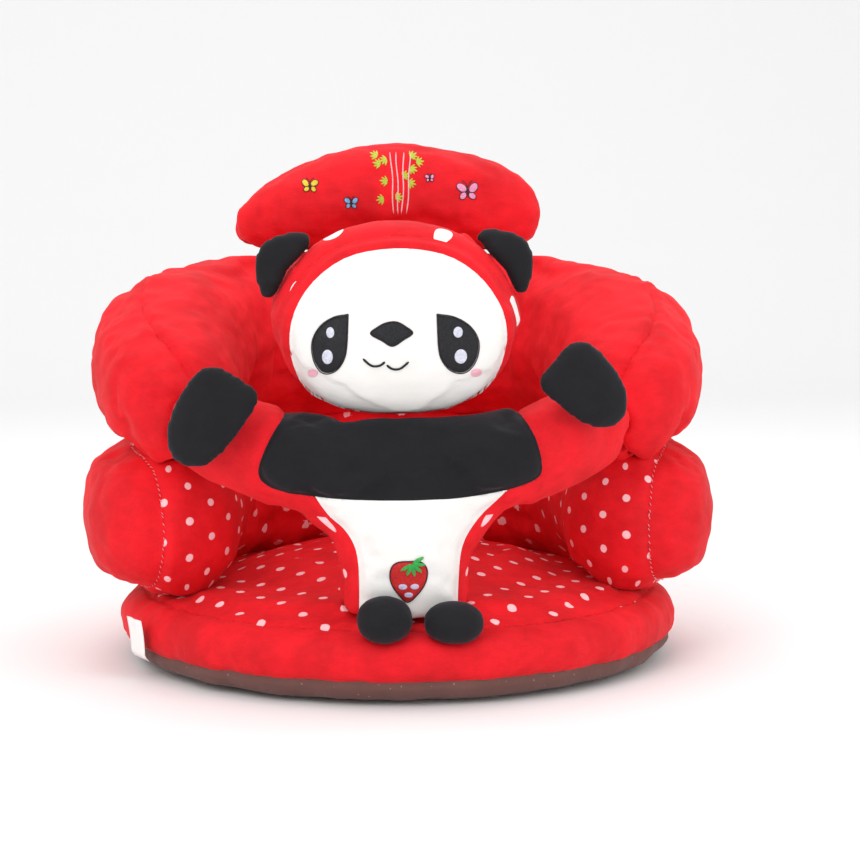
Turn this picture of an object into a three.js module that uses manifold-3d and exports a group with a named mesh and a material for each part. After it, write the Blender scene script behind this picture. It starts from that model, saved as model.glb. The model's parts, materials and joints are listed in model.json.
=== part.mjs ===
// A plush panda support seat for a baby: a round floor cushion, two stacked U-shaped bolsters with a
// headrest behind, and a panda whose arms close the front. Every stuffed piece is made the way it is
// sewn: thin cloth panels that meet at seams, round a loose filling of their own.
//
// Millimetres. +Z is up, the sitter looks along -Y, +X is to the right as seen from the front, and
// the origin is under the middle of the object on the floor.

import * as THREE from "three";
import { mergeVertices } from "three/addons/utils/BufferGeometryUtils.js";
import Module from "manifold-3d";

const wasm = await Module();
wasm.setup();

// ---------------------------------------------------------------- driving dimensions

const CLOTH = 2.4; // a plush panel with its pile
const GAP = 0.4; // left between pieces that touch
const PATCH = 1.0; // thickness of an applique or an embroidered patch

const BASE = { radius: 200, depthShare: 0.975, lowSeam: 16, highSeam: 50, frontRise: 3 };
// The bolsters rest on each other at a height that drops towards their front ends.
const CREASE = { rear: 158, front: 144, rearY: 20, frontY: -100 };
const LOWER = { floor: 56.7, across: 51.5, seam: 21 };
const UPPER = { across: 52.5, top: { front: 228, side: 274, back: 283 } };
const HEADREST = { bottom: 284.5, top: 370, y: 146, halfDepth: 38, lean: 0.1, wrap: 0.0008 };
const HEAD = { x: -11, y: -138, bottom: 181, top: 306, halfWidth: 81, front: 46, back: 48 };
const TORSO = { x: -6, y: -146, halfDepth: 32, bend: 0.0019, top: 178 };
const EAR = { halfWidth: 26, halfThick: 9, length: 40, lean: 0.95 };
const PAW = { halfThick: 9, gap: 1.2 };
const FOOT = { root: -168, tip: -200, rise: 5 };
const ZIP = { length: 200, y: 62, tape: 11, slider: 13 };
const LABEL = { width: 22, length: 25, thick: 1.4 };

// ---------------------------------------------------------------- colours

const RED = { color: 0xd9141f, roughness: 0.9 };
const BLACK = { color: 0x17181b, roughness: 0.95 };
const WHITE = { color: 0xf3efe9, roughness: 0.9 };
const BROWN = { color: 0x5f4742, roughness: 0.85 };
const FILLING = { color: 0xf7f7f5, roughness: 1 };
const THREAD = {
  yellow: { color: 0xf2d54a, roughness: 0.5 },
  blue: { color: 0x8fbbe0, roughness: 0.5 },
  pink: { color: 0xf2a6c8, roughness: 0.5 },
  green: { color: 0x3fae54, roughness: 0.5 },
};
const NYLON = { color: 0x4a3733, roughness: 0.5 };
const SATIN = { color: 0xf4f1ec, roughness: 0.4 };

// ---------------------------------------------------------------- solids

// A closed geometry as a manifold-3d solid with its faces pointing out.
function solidOf(geometry) {
  const bare = new THREE.BufferGeometry().setAttribute("position", geometry.getAttribute("position"));
  const merged = mergeVertices(bare.setIndex(geometry.index), 1e-3);
  const index = merged.index.array;
  const faces = [];
  for (let i = 0; i < index.length; i += 3) {
    const [a, b, c] = index.slice(i, i + 3);
    if (a !== b && b !== c && c !== a) faces.push(a, b, c);
  }
  const build = (triVerts) =>
    new wasm.Manifold(
      new wasm.Mesh({
        numProp: 3,
        vertProperties: merged.attributes.position.array,
        triVerts: new Uint32Array(triVerts),
      }),
    );
  const made = build(faces);
  return made.volume() > 0 ? made : build(faces.reverse());
}

function geometryOf(solid) {
  const { numProp, numVert, vertProperties, triVerts } = solid.getMesh();
  const position = new Float32Array(numVert * 3);
  for (let i = 0; i < numVert; i++)
    position.set(vertProperties.subarray(i * numProp, i * numProp + 3), i * 3);
  return new THREE.BufferGeometry()
    .setAttribute("position", new THREE.BufferAttribute(position, 3))
    .setIndex(new THREE.BufferAttribute(triVerts, 1))
    .toNonIndexed();
}

// The biggest body of a solid, without the crumbs that a cut can leave.
function biggest(solid) {
  return solid.decompose().reduce((a, b) => (b.volume() > a.volume() ? b : a));
}

function cut(solid, ...others) {
  return biggest(others.reduce((rest, other) => rest.subtract(other), solid));
}

function box(low, high) {
  const size = high.map((h, i) => h - low[i]);
  const middle = high.map((h, i) => (h + low[i]) / 2);
  return solidOf(new THREE.BoxGeometry(...size).translate(...middle));
}

// A prism along Y whose outline, [x, z] points, is seen from the front.
function prism(points, near = -260, far = 0) {
  const shape = new THREE.Shape(points.map(([x, z]) => new THREE.Vector2(x, z)));
  const geometry = new THREE.ExtrudeGeometry(shape, { depth: far - near, bevelEnabled: false });
  return solidOf(geometry.rotateX(Math.PI / 2).translate(0, far, 0));
}

// ---------------------------------------------------------------- stuffed forms
// A form is a closed surface: form(u, v, inset) is the point at u round it and v from pole to pole,
// moved inwards by inset. Its panels and its filling are all made from it, so they always nest.

const { lerp, smoothstep } = THREE.MathUtils;

// The signed power that squares off an ellipse.
const bulge = (value, power) => Math.sign(value) * Math.abs(value) ** (2 / power);

// Steps along a form, closer together at its two poles.
const eased = (v) => v - (0.75 * Math.sin(2 * Math.PI * v)) / (2 * Math.PI);

function placed(geometry, place) {
  const { position, uv } = geometry.attributes;
  for (let i = 0; i < position.count; i++) {
    const at = new THREE.Vector3().fromBufferAttribute(position, i);
    position.setXYZ(i, ...place(uv.getX(i), uv.getY(i), at));
  }
  return solidOf(geometry);
}

// The whole form, moved in by inset. A negative inset makes it bigger.
function whole(form, inset, [around, along]) {
  const ball = new THREE.SphereGeometry(1, around, along);
  return placed(ball, (u, v) => form(u, 1 - v, inset));
}

// A stuffed tube with round ends. At a share t of its length, frame(t) gives its centre and its
// directions onwards, across and up, and size(t) its half sizes across and up. limit keeps a point
// within flat planes.
function tube({ length, cap, power = 2, frame, size, limit = (point) => point }) {
  return (u, v, inset) => {
    const reach = inset + eased(v) * (length - 2 * inset);
    const t = THREE.MathUtils.clamp(reach / length, 0, 1);
    const fromEnd = Math.min(reach, length - reach) - inset;
    const short = Math.max(0, 1 - fromEnd / (cap - inset));
    const round = Math.sqrt(Math.max(0, 1 - short * short));
    const { centre, onwards, across, up } = frame(t);
    const [wide, high] = size(t).map((half) => (half - inset) * round);
    const angle = 2 * Math.PI * u;
    const point = centre
      .clone()
      .addScaledVector(onwards, reach - t * length)
      .addScaledVector(across, wide * bulge(Math.cos(angle), power))
      .addScaledVector(up, high * bulge(Math.sin(angle), power));
    return limit(point, inset);
  };
}

// A stuffed pillow: a closed outline seen from the front, and a half depth before and behind the
// middle surface y = middle(x, z).
function pillow({ outline, centre, front, back, power, middle }) {
  return (u, v, inset) => {
    const turn = (u + 1) % 1;
    const rim = outline.getPointAt(turn);
    const tangent = outline.getTangentAt(turn);
    const x0 = rim.x - tangent.y * inset;
    const z0 = rim.y + tangent.x * inset;
    const share = bulge(Math.sin(Math.PI * Math.min(v, 1 - v)), power);
    const x = lerp(centre[0], x0, share);
    const z = lerp(centre[1], z0, share);
    const side = Math.cos(Math.PI * v);
    const half = (side > 0 ? front : back) - inset;
    return new THREE.Vector3(x, middle(x, z) - half * bulge(side, power), z);
  };
}

// A closed curve through [x, z] points that run anticlockwise as seen from the front.
function outlineOf(points) {
  return new THREE.CatmullRomCurve3(points.map(([x, z]) => new THREE.Vector3(x, z, 0)), true);
}

// The points of a left half, given from the bottom up, mirrored to close an outline about x.
function mirrored(half, x = 0) {
  const right = half.map(([dx, z]) => [x - dx, z]);
  const left = [...half].reverse().map(([dx, z]) => [x + dx, z]);
  return [...right, ...left];
}

// A smooth outline through [x, z] points.
function smooth(points, steps = 48) {
  return outlineOf(points)
    .getPoints(steps)
    .slice(0, -1)
    .map(({ x, y }) => [x, y]);
}

// ---------------------------------------------------------------- the object

const seat = new THREE.Group();

function add(name, solid, material, parent = seat) {
  const mesh = new THREE.Mesh(
    geometryOf(solid),
    new THREE.MeshStandardMaterial({ metalness: 0, ...material }),
  );
  mesh.name = name;
  parent.add(mesh);
  return mesh;
}

// -------- floor cushion

// Its profile, [radius, z], from the middle of the underside to the middle of the seat.
const BASE_PROFILE = [
  [0, 3.5],
  [128, 3.5],
  [146, 0],
  [174, 0],
  [190, 6],
  [196, BASE.lowSeam],
  [BASE.radius, 29],
  [196, 42],
  [180, BASE.highSeam],
  [150, 55],
  [120, 56],
  [104, 62],
  [64, 75],
  [0, 80],
];
const LOW_SEAM = BASE_PROFILE.findIndex(([, z]) => z === BASE.lowSeam);
const HIGH_SEAM = BASE_PROFILE.findIndex(([, z]) => z === BASE.highSeam);
const last = BASE_PROFILE.length - 1;

// The direction along the profile at one of its points.
function runAt(i) {
  const [r0, z0] = BASE_PROFILE[Math.max(i - 1, 0)];
  const [r1, z1] = BASE_PROFILE[Math.min(i + 1, last)];
  return new THREE.Vector2(r1 - r0, z1 - z0).normalize();
}

// The profile moved inwards along its own normals.
function baseProfile(inset) {
  return BASE_PROFILE.map(([r, z], i) => {
    const run = runAt(i);
    const onAxis = r === 0;
    return new THREE.Vector2(
      onAxis ? 0 : r - run.y * inset,
      z + (onAxis ? Math.sign(run.x) : run.x) * inset,
    );
  });
}

// The lathe's round body made a little shallower than it is wide, and fuller at the front edge.
function baseSolid(profile) {
  const geometry = new THREE.LatheGeometry(profile, 24).rotateX(Math.PI / 2);
  const { position } = geometry.attributes;
  for (let i = 0; i < position.count; i++) {
    const at = new THREE.Vector3().fromBufferAttribute(position, i);
    const r = Math.hypot(at.x, at.y);
    const forward = smoothstep(r > 0 ? -at.y / r : 0, 0.75, 0.95);
    const onTop = at.z > BASE.highSeam - 12 ? 1 : 0;
    const swell = Math.sin(Math.PI * THREE.MathUtils.clamp((178 - r) / 138, 0, 1));
    position.setXYZ(
      i,
      at.x,
      at.y * BASE.depthShare,
      at.z + BASE.frontRise * forward * onTop * swell,
    );
  }
  return solidOf(geometry);
}

const baseWhole = (inset) => baseSolid(baseProfile(inset));

// The slit of a seam round the cushion, square to the profile.
function seamRing(i) {
  const [r, z] = BASE_PROFILE[i];
  const run = runAt(i);
  const corner = (out, along) =>
    new THREE.Vector2(r + run.y * out + run.x * along, z - run.x * out + run.y * along);
  const deep = -CLOTH - 3;
  const half = GAP / 2;
  const corners = [corner(3, -half), corner(3, half), corner(deep, half), corner(deep, -half)];
  return baseSolid([...corners, corners[0]]);
}

// The zip's slot through the underside, with its two tapes and the slider that runs below them.
const half = ZIP.length / 2;
const slot = box([-half, ZIP.y - ZIP.tape, -1], [half, ZIP.y + ZIP.tape, 9]);
const [baseBottom, baseBand, seatPanel] = baseWhole(0)
  .subtract(baseWhole(CLOTH))
  .subtract(seamRing(LOW_SEAM))
  .subtract(seamRing(HIGH_SEAM))
  .decompose()
  .sort((a, b) => a.boundingBox().max[2] - b.boundingBox().max[2]);
add("base_bottom_cover", cut(baseBottom, slot), BROWN);
add("base_side_band", baseBand, RED);
add("seat_panel", seatPanel, RED);
add("base_filling", baseWhole(CLOTH + GAP), FILLING);

for (const [name, side] of [
  ["zipper_tape_front", -1],
  ["zipper_tape_rear", 1],
]) {
  const reach = (from, to) => [ZIP.y + side * from, ZIP.y + side * to].sort((a, b) => a - b);
  const [y0, y1] = reach(GAP / 2, ZIP.tape - GAP);
  const [c0, c1] = reach(GAP / 2, 2);
  const tape = box([-half + GAP, y0, 3.7], [half - GAP, y1, 5]);
  const coil = box([-half + 6, c0, 2.6], [half - 6, c1, 3.8]);
  add(name, tape.add(coil), NYLON);
}
const sliderLeft = -half + 8;
const slider = box(
  [sliderLeft, ZIP.y - 4.5, 0.6],
  [sliderLeft + ZIP.slider, ZIP.y + 4.5, 2.3],
);
const [flangeNear, flangeFar] = [-1, 1].map((side) => {
  const ys = [ZIP.y + side * 2.6, ZIP.y + side * 4.5].sort((a, b) => a - b);
  return box([sliderLeft, ys[0], 2.2], [sliderLeft + ZIP.slider, ys[1], 3.4]);
});
add("zipper_slider", slider.add(flangeNear).add(flangeFar), { color: 0x8a8d92, metalness: 1 });

// -------- bolsters

// A horizontal U seen from above: the left half's [x, y] points, from the front end to the back.
function horseshoe(half) {
  const left = half.map(([x, y]) => new THREE.Vector3(x, y, 0));
  const right = half
    .slice(0, -1)
    .reverse()
    .map(([x, y]) => new THREE.Vector3(-x, y, 0));
  return new THREE.CatmullRomCurve3([...left, ...right]);
}

function bolster({ path, cap, power, size, middleZ, limit }) {
  const up = new THREE.Vector3(0, 0, 1);
  const frame = (t) => {
    const centre = path.getPointAt(t);
    const tangent = path.getTangentAt(t);
    centre.z = middleZ(t);
    const across = new THREE.Vector3(tangent.y, -tangent.x, 0).normalize();
    return { centre, onwards: tangent, across, up };
  };
  return tube({ length: path.getLength(), cap, power, frame, size, limit });
}

// How far a bolster's round belly is pressed flat where it rests.
const SINK = 7;
const creaseAt = (y) => lerp(CREASE.rear, CREASE.front, smoothstep(-y, -CREASE.rearY, -CREASE.frontY));

const lowerPath = horseshoe([
  [-140, -96],
  [-165, -30],
  [-156, 52],
  [-104, 118],
  [0, 147.5],
]);
const lowerCeiling = (y) => creaseAt(y) - GAP / 2;
const lowerForm = bolster({
  path: lowerPath,
  cap: 44,
  power: 2.6,
  size: (t) => [
    LOWER.across,
    (lowerCeiling(lowerPath.getPointAt(t).y) - LOWER.floor) / 2 + SINK,
  ],
  middleZ: (t) => (LOWER.floor + lowerCeiling(lowerPath.getPointAt(t).y)) / 2,
  limit: (point, inset) =>
    point.setZ(
      THREE.MathUtils.clamp(point.z, LOWER.floor + inset, lowerCeiling(point.y) - inset),
    ),
});

// The height of the upper bolster's top: low at its front ends and highest behind the head.
function upperTop(t) {
  const fromEnd = Math.min(t, 1 - t);
  const { front, side, back } = UPPER.top;
  return fromEnd < 0.2
    ? lerp(front, side, smoothstep(fromEnd, 0, 0.2))
    : lerp(side, back, smoothstep(fromEnd, 0.2, 0.34));
}
const upperPath = horseshoe([
  [-132, -100],
  [-158, -50],
  [-159, 20],
  [-135, 88],
  [-80, 132],
  [0, 147.5],
]);
const upperFloor = (y) => creaseAt(y) + GAP / 2;
const upperForm = bolster({
  path: upperPath,
  cap: 44,
  power: 2.3,
  size: (t) => {
    const grow = smoothstep(Math.min(t, 1 - t), 0, 0.2);
    const floor = upperFloor(upperPath.getPointAt(t).y);
    return [lerp(40, UPPER.across, grow), (upperTop(t) - floor + SINK) / 2];
  },
  middleZ: (t) => (upperTop(t) + upperFloor(upperPath.getPointAt(t).y) - SINK) / 2,
  limit: (point, inset) => point.setZ(Math.max(point.z, upperFloor(point.y) + inset)),
});

const TUBE_GRID = [10, 18];

// A form's cover: its outer skin, one cloth thick. Its stuffing lies loose inside.
const skin = (form, grid) => whole(form, 0, grid).subtract(whole(form, CLOTH, grid));
const stuffing = (form, grid, gap = GAP) => whole(form, CLOTH + gap, grid);

// The part of a tube that a turn from u0 to u1 round its centre line takes in, and some more outside.
function sector(form, u0, u1, [around, along]) {
  const wedge = new THREE.BoxGeometry(1, 1, 1, around, along, 1);
  return placed(wedge, (_u, _v, { x, y, z }) => {
    const v = y + 0.5;
    const middle = form(0, v, 0).lerp(form(0.5, v, 0), 0.5);
    return z > 0 ? form(lerp(u0, u1, x + 0.5), v, -6) : middle;
  });
}

// The space inside a horseshoe that is moved outwards by some amount, open to the front.
function insideOf(path, outwards) {
  const steps = 40;
  const line = Array.from({ length: steps + 1 }, (_, i) => {
    const centre = path.getPointAt(i / steps);
    const tangent = path.getTangentAt(i / steps);
    return new THREE.Vector2(centre.x - tangent.y * outwards, centre.y + tangent.x * outwards);
  });
  const ahead = (point) => new THREE.Vector2(point.x, -260);
  const shape = new THREE.Shape([ahead(line[0]), ...line, ahead(line[steps])]);
  return solidOf(new THREE.ExtrudeGeometry(shape, { depth: 300, bevelEnabled: false }));
}

function bolsterPieces(name, form, inner, outerCutter) {
  const cover = skin(form, TUBE_GRID);
  add(`${name}_inner_panel`, biggest(cover.intersect(inner)), RED);
  add(`${name}_outer_panel`, biggest(cover.subtract(outerCutter)), RED);
  add(`${name}_filling`, stuffing(form, TUBE_GRID), FILLING);
}
bolsterPieces(
  "lower_bolster",
  lowerForm,
  insideOf(lowerPath, LOWER.seam),
  insideOf(lowerPath, LOWER.seam + GAP),
);
// The upper cover's seams run along it at two turns: u = 0 faces into the seat, 0.25 is on top.
const UPPER_SEAMS = { top: 3.7 / 12, bottom: 8.6 / 12, half: 0.0008 };
const upperInside = (by) =>
  sector(upperForm, UPPER_SEAMS.bottom - 1 + by, UPPER_SEAMS.top - by, TUBE_GRID);
bolsterPieces(
  "upper_bolster",
  upperForm,
  upperInside(UPPER_SEAMS.half),
  upperInside(-UPPER_SEAMS.half),
);

// -------- headrest

// A patch or an embroidery on the front of a form, in a layer of its own above the cloth.
function patch(name, form, grid, points, material, { layer = 0, far = 0 } = {}) {
  const lift = 0.3 + layer * (PATCH + 0.3);
  const sheet = whole(form, -lift - PATCH, grid).subtract(whole(form, -lift, grid));
  const outline = Array.isArray(points[0][0]) ? points : [points];
  const shape = outline.map((part) => prism(part, -260, far)).reduce((a, b) => a.add(b));
  add(name, biggest(sheet.intersect(shape)), material);
}

const headrestForm = pillow({
  outline: outlineOf([
    [60, HEADREST.bottom],
    [108, HEADREST.bottom + 2],
    [124, HEADREST.bottom + 12],
    [125, HEADREST.bottom + 29],
    [119, HEADREST.bottom + 48],
    [102, HEADREST.bottom + 65],
    [58, HEADREST.top - 6.5],
    [24, HEADREST.top - 0.8],
    [-4, HEADREST.top - 0.3],
    [-32, HEADREST.top - 5],
    [-64, HEADREST.top - 16],
    [-96, HEADREST.bottom + 52],
    [-118, HEADREST.bottom + 31],
    [-122, HEADREST.bottom + 14],
    [-108, HEADREST.bottom + 2],
    [-60, HEADREST.bottom],
  ]),
  centre: [0, (HEADREST.bottom + HEADREST.top) / 2],
  front: HEADREST.halfDepth,
  back: HEADREST.halfDepth,
  power: 2.2,
  middle: (x, z) =>
    HEADREST.y + HEADREST.lean * (z - HEADREST.bottom) - HEADREST.wrap * x * x,
});
const HEADREST_GRID = [20, 8];
const headrestSkin = skin(headrestForm, HEADREST_GRID);
// The half of space before (-1) or behind (1) the headrest's own bent, leaning middle.
function halfOfHeadrest(side) {
  const xs = Array.from({ length: 13 }, (_, i) => -180 + 30 * i);
  const line = xs.map((x) => [x, side * GAP * 0.5 - HEADREST.wrap * x * x]);
  const far = [
    [180, side * 120],
    [-180, side * 120],
  ];
  const shape = new THREE.Shape([...line, ...far].map(([x, y]) => new THREE.Vector2(x, y)));
  const bent = new THREE.ExtrudeGeometry(shape, { depth: 200, bevelEnabled: false });
  const { position } = bent.attributes;
  for (let i = 0; i < position.count; i++) {
    const rise = position.getZ(i) - 50;
    position.setY(i, position.getY(i) + HEADREST.y + HEADREST.lean * rise);
    position.setZ(i, HEADREST.bottom + rise);
  }
  return solidOf(bent);
}
add("headrest_front_panel", biggest(headrestSkin.intersect(halfOfHeadrest(-1))), RED);
add("headrest_back_panel", biggest(headrestSkin.intersect(halfOfHeadrest(1))), RED);
add("headrest_filling", stuffing(headrestForm, HEADREST_GRID), FILLING);

// A straight or bent thread between points, as the outline of a thin ribbon.
function ribbon(points, width) {
  const side = points.map(([x, z], i) => {
    const [ax, az] = points[Math.max(i - 1, 0)];
    const [bx, bz] = points[Math.min(i + 1, points.length - 1)];
    const run = new THREE.Vector2(bx - ax, bz - az).normalize();
    return [x, z, (-run.y * width) / 2, (run.x * width) / 2];
  });
  const there = side.map(([x, z, dx, dz]) => [x + dx, z + dz]);
  const back = side.map(([x, z, dx, dz]) => [x - dx, z - dz]).reverse();
  return [...there, ...back].reverse();
}

// An ellipse as an outline.
function ellipse(x, z, halfWidth, halfHeight, turn = 0, steps = 10) {
  return Array.from({ length: steps }, (_, i) => {
    const angle = (2 * Math.PI * i) / steps;
    const dx = halfWidth * Math.cos(angle);
    const dz = halfHeight * Math.sin(angle);
    return [
      x + dx * Math.cos(turn) - dz * Math.sin(turn),
      z + dx * Math.sin(turn) + dz * Math.cos(turn),
    ];
  });
}

// Two wings and a body, as outlines.
function butterfly(x, z, span, turn) {
  const wing = (side, up) =>
    ellipse(
      x + side * span * 0.24 * Math.cos(turn),
      z + up * span * 0.16 + side * span * 0.24 * Math.sin(turn),
      span * 0.26,
      span * 0.17,
      turn + side * up * 0.7,
      8,
    );
  return [wing(-1, 1), wing(1, 1), wing(-1, -1), wing(1, -1), ellipse(x, z, span * 0.09, span * 0.3, 0, 6)];
}

const onHeadrest = (name, points, material) =>
  patch(name, headrestForm, HEADREST_GRID, points, material, { far: HEADREST.y });
const BAMBOO = { bottom: 312, top: 359 };
// Where each stem is at the top and at the bottom.
const STEMS = [
  [0, 2],
  [6, 5],
  [11.5, 8.5],
  [17, 12],
];
const stems = STEMS.map(([top, bottom]) =>
  ribbon(
    [
      [bottom, BAMBOO.bottom],
      [top, BAMBOO.top],
    ],
    1.5,
  ),
);
const leaf = (x, z, turn, length = 12) => ellipse(x, z, length / 2, 1.6, turn, 4);
const leaves = [
  [-5, 353, 2.7],
  [3, 350, 0.3],
  [12, 352, 2.8],
  [20, 352, 0.6],
  [-5, 337, 0.2],
  [4, 339, 2.9],
  [14, 336, 0.3],
  [19, 338, 2.8],
  [0, 325, 0.2],
  [12, 324, 2.7],
].map(([x, z, turn]) => leaf(x, z, turn));
onHeadrest("bamboo_embroidery", [...stems, ...leaves], THREAD.green);
onHeadrest("butterfly_yellow", butterfly(-59, 333, 14, -0.2), THREAD.yellow);
onHeadrest("butterfly_blue", butterfly(-28, 320, 12, 0.1), THREAD.blue);
onHeadrest("butterfly_pink", butterfly(61, 329, 19, 0.15), THREAD.pink);
onHeadrest("butterfly_small", butterfly(32, 339, 8, 0.5), THREAD.pink);

// -------- panda's body: a T of cloth whose bar closes the seat and whose post stands between the legs

const torsoForm = pillow({
  outline: outlineOf(
    mirrored(
      [
        [-38, 30],
        [-41, 62],
        [-43, 88],
        [-52, 107],
        [-74, 119],
        [-104, 131],
        [-140, 146],
        [-158, 166],
        [-146, 196],
        [-112, 198],
        [-78, 184],
        [-40, TORSO.top],
      ],
      TORSO.x,
    ),
  ),
  centre: [TORSO.x, 140],
  front: TORSO.halfDepth,
  back: TORSO.halfDepth,
  power: 2.5,
  middle: (x) => TORSO.y + TORSO.bend * (x - TORSO.x) ** 2,
});
const TORSO_GRID = [28, 8];

const headForm = pillow({
  outline: outlineOf(
    mirrored(
      [
        [-34, HEAD.bottom + 2],
        [-62, HEAD.bottom + 16],
        [-78, HEAD.bottom + 42],
        [-HEAD.halfWidth, HEAD.bottom + 64],
        [-70, HEAD.bottom + 92],
        [-44, HEAD.top - 9],
        [-14, HEAD.top - 0.5],
      ],
      HEAD.x,
    ),
  ),
  centre: [HEAD.x, (HEAD.bottom + HEAD.top) / 2],
  front: HEAD.front,
  back: HEAD.back,
  power: 2.15,
  middle: () => HEAD.y,
});
const HEAD_GRID = [20, 10];

const beside = (form, grid, gap = GAP) => whole(form, -gap, grid);
const NEIGHBOURS = [
  beside(lowerForm, TUBE_GRID),
  beside(upperForm, TUBE_GRID),
  baseWhole(-GAP),
  beside(headForm, HEAD_GRID),
];
const torsoSkin = cut(skin(torsoForm, TORSO_GRID), ...NEIGHBOURS);
// The panels as seen from the front: each is the skin's front half within its own outline.
const CHEST_BOTTOM = 130;
const bodyMiddle = (x) => TORSO.y + TORSO.bend * (x - TORSO.x) ** 2;
const frontOf = (offset) => {
  const steps = Array.from({ length: 17 }, (_, i) => -170 + (340 * i) / 16);
  const line = steps.map((x) => new THREE.Vector2(x, bodyMiddle(x) + offset));
  const shape = new THREE.Shape([...line, new THREE.Vector2(170, -300), new THREE.Vector2(-170, -300)]);
  return solidOf(new THREE.ExtrudeGeometry(shape, { depth: 300, bevelEnabled: false }));
};
// The front panels reach over the top of the bar, this far behind its middle.
const OVER_TOP = 24;
const rear = torsoSkin.subtract(frontOf(OVER_TOP + GAP));
const fore = torsoSkin.intersect(frontOf(OVER_TOP));
const at = (points) => points.map(([x, z]) => [x + TORSO.x, z]);
const chestLine = [
  [-92, 142],
  [-84, 136],
  [-49, CHEST_BOTTOM + 1],
  [0, CHEST_BOTTOM],
  [37, CHEST_BOTTOM + 1],
  [64, CHEST_BOTTOM + 5],
  [84, 142],
  [86, 148],
  [81, 168],
  [71, 186],
  [63, 215],
  [-64, 215],
  [-72, 188],
  [-82, 174],
  [-90, 158],
  [-93, 148],
];
// The belly's edges, from the bottom up.
const BELLY = {
  right: [
    [32, 20],
    [33, 88],
    [36, 102],
    [44, 115],
    [56, 127],
    [70, CHEST_BOTTOM + 12],
  ],
  left: [
    [-31, 20],
    [-31, 90],
    [-34, 102],
    [-40, 111],
    [-49, 119],
    [-62, CHEST_BOTTOM + 8],
  ],
};
// A line moved sideways by gap, away from the body's middle.
const aside = (line, gap) => line.map(([x, z]) => [x + Math.sign(x) * gap, z]);
const curved = (line) => {
  const path = new THREE.CatmullRomCurve3(line.map(([x, z]) => new THREE.Vector3(x, z, 0)));
  return path.getPoints(16).map(({ x, y }) => [x, y]);
};
const belly = (gap) =>
  at([...curved(aside(BELLY.right, gap)), ...curved(aside(BELLY.left, gap)).reverse()]);
const grown = (points, gap) => {
  const midX = TORSO.x;
  const midZ = 160;
  return points.map(([x, z]) => {
    const away = new THREE.Vector2((x - midX) / 90, (z - midZ) / 40).normalize();
    return [x + away.x * gap, z + away.y * gap];
  });
};
const chestOutline = at(smooth(chestLine));
const chestPrism = prism(chestOutline);
const chestSlit = prism(grown(chestOutline, GAP));
const bellyPrism = prism(belly(0));
const bellySlit = prism(belly(GAP));
add("chest_panel", biggest(fore.intersect(chestPrism)), BLACK);
add("belly_panel", biggest(fore.intersect(bellyPrism).subtract(chestSlit)), WHITE);
add("body_back_panel", biggest(rear), RED);
for (const [side, sign] of [
  ["left", -1],
  ["right", 1],
]) {
  const ends = [TORSO.x + sign * 0.1, sign * 260].sort((a, b) => a - b);
  const beyond = box([ends[0], -260, 118], [ends[1], 0, 260]);
  const under = box([ends[0], -260, 0], [ends[1], 0, 118 - GAP]);
  const rest = fore.subtract(chestSlit).subtract(bellySlit);
  add(`sleeve_${side}`, biggest(rest.intersect(beyond)), RED);
  add(`post_gusset_${side}`, biggest(rest.intersect(under)), RED);
}
add("body_filling", cut(stuffing(torsoForm, TORSO_GRID), ...NEIGHBOURS), FILLING);

const onBody = (name, points, material, options) =>
  patch(name, torsoForm, TORSO_GRID, at(points), material, { far: TORSO.y, ...options });
onBody(
  "strawberry_patch",
  [
    [-1, 65],
    [5, 69],
    [10.5, 77],
    [11.5, 85],
    [8, 91],
    [0, 92],
    [-8, 91],
    [-11.5, 86],
    [-11, 77],
    [-6, 69],
  ],
  { color: 0xd2232a, roughness: 0.5 },
);
onBody(
  "strawberry_leaf",
  [
    [0, 91],
    [3, 85],
    [5, 88],
    [8, 84],
    [9, 88],
    [12, 86],
    [11, 91],
    [6, 93],
  ],
  THREAD.green,
  { layer: 1 },
);

// -------- panda's head

const headSkin = skin(headForm, HEAD_GRID);
const fromHead = (points) => points.map(([x, z]) => [x + HEAD.x, z]);
const faceOutline = smooth(
  fromHead(
    mirrored([
      [-30, HEAD.bottom - 8],
      [-48, HEAD.bottom + 8],
      [-63, HEAD.bottom + 26],
      [-68, HEAD.bottom + 46],
      [-65, HEAD.bottom + 66],
      [-53, HEAD.bottom + 85],
      [-34, HEAD.bottom + 99],
      [-12, HEAD.bottom + 104.5],
    ]),
  ),
);
const around = (points, by) =>
  points.map(([x, z]) => {
    const away = new THREE.Vector2(x - HEAD.x, z - (HEAD.bottom + 48)).normalize();
    return [x + away.x * by, z + away.y * by];
  });
const headFront = box([-260, -260, 100], [260, HEAD.y - GAP / 2, 400]);
const headBack = box([-260, HEAD.y + GAP / 2, 100], [260, 0, 400]);
const facePrism = prism(faceOutline);
const faceSlit = prism(around(faceOutline, GAP));
const brimPrism = prism(around(faceOutline, 8));
const brimSlit = prism(around(faceOutline, 8 + GAP));
const frontSkin = headSkin.intersect(headFront);
add("face_panel", biggest(frontSkin.intersect(facePrism)), WHITE);
add("hood_brim", biggest(frontSkin.intersect(brimPrism).subtract(faceSlit)), RED);
add("hood_front", biggest(frontSkin.subtract(brimSlit)), RED);
add("hood_back", biggest(headSkin.intersect(headBack)), RED);
add("head_filling", stuffing(headForm, HEAD_GRID), FILLING);

const FACE = { x: HEAD.x - 4, eyeX: 40, eyeZ: 227, noseZ: 233.5, slim: 0.82 };
// The mouth is a little to the left, and its left half a little higher.
const MOUTH = { x: -5.4, z: 217, leftRise: 2 };
const onFace = (name, points, material, options) =>
  patch(
    name,
    headForm,
    HEAD_GRID,
    faced(points),
    material,
    { far: HEAD.y, ...options },
  );
const faced = (points) => points.map(([x, z]) => [x + FACE.x, z]);
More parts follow.
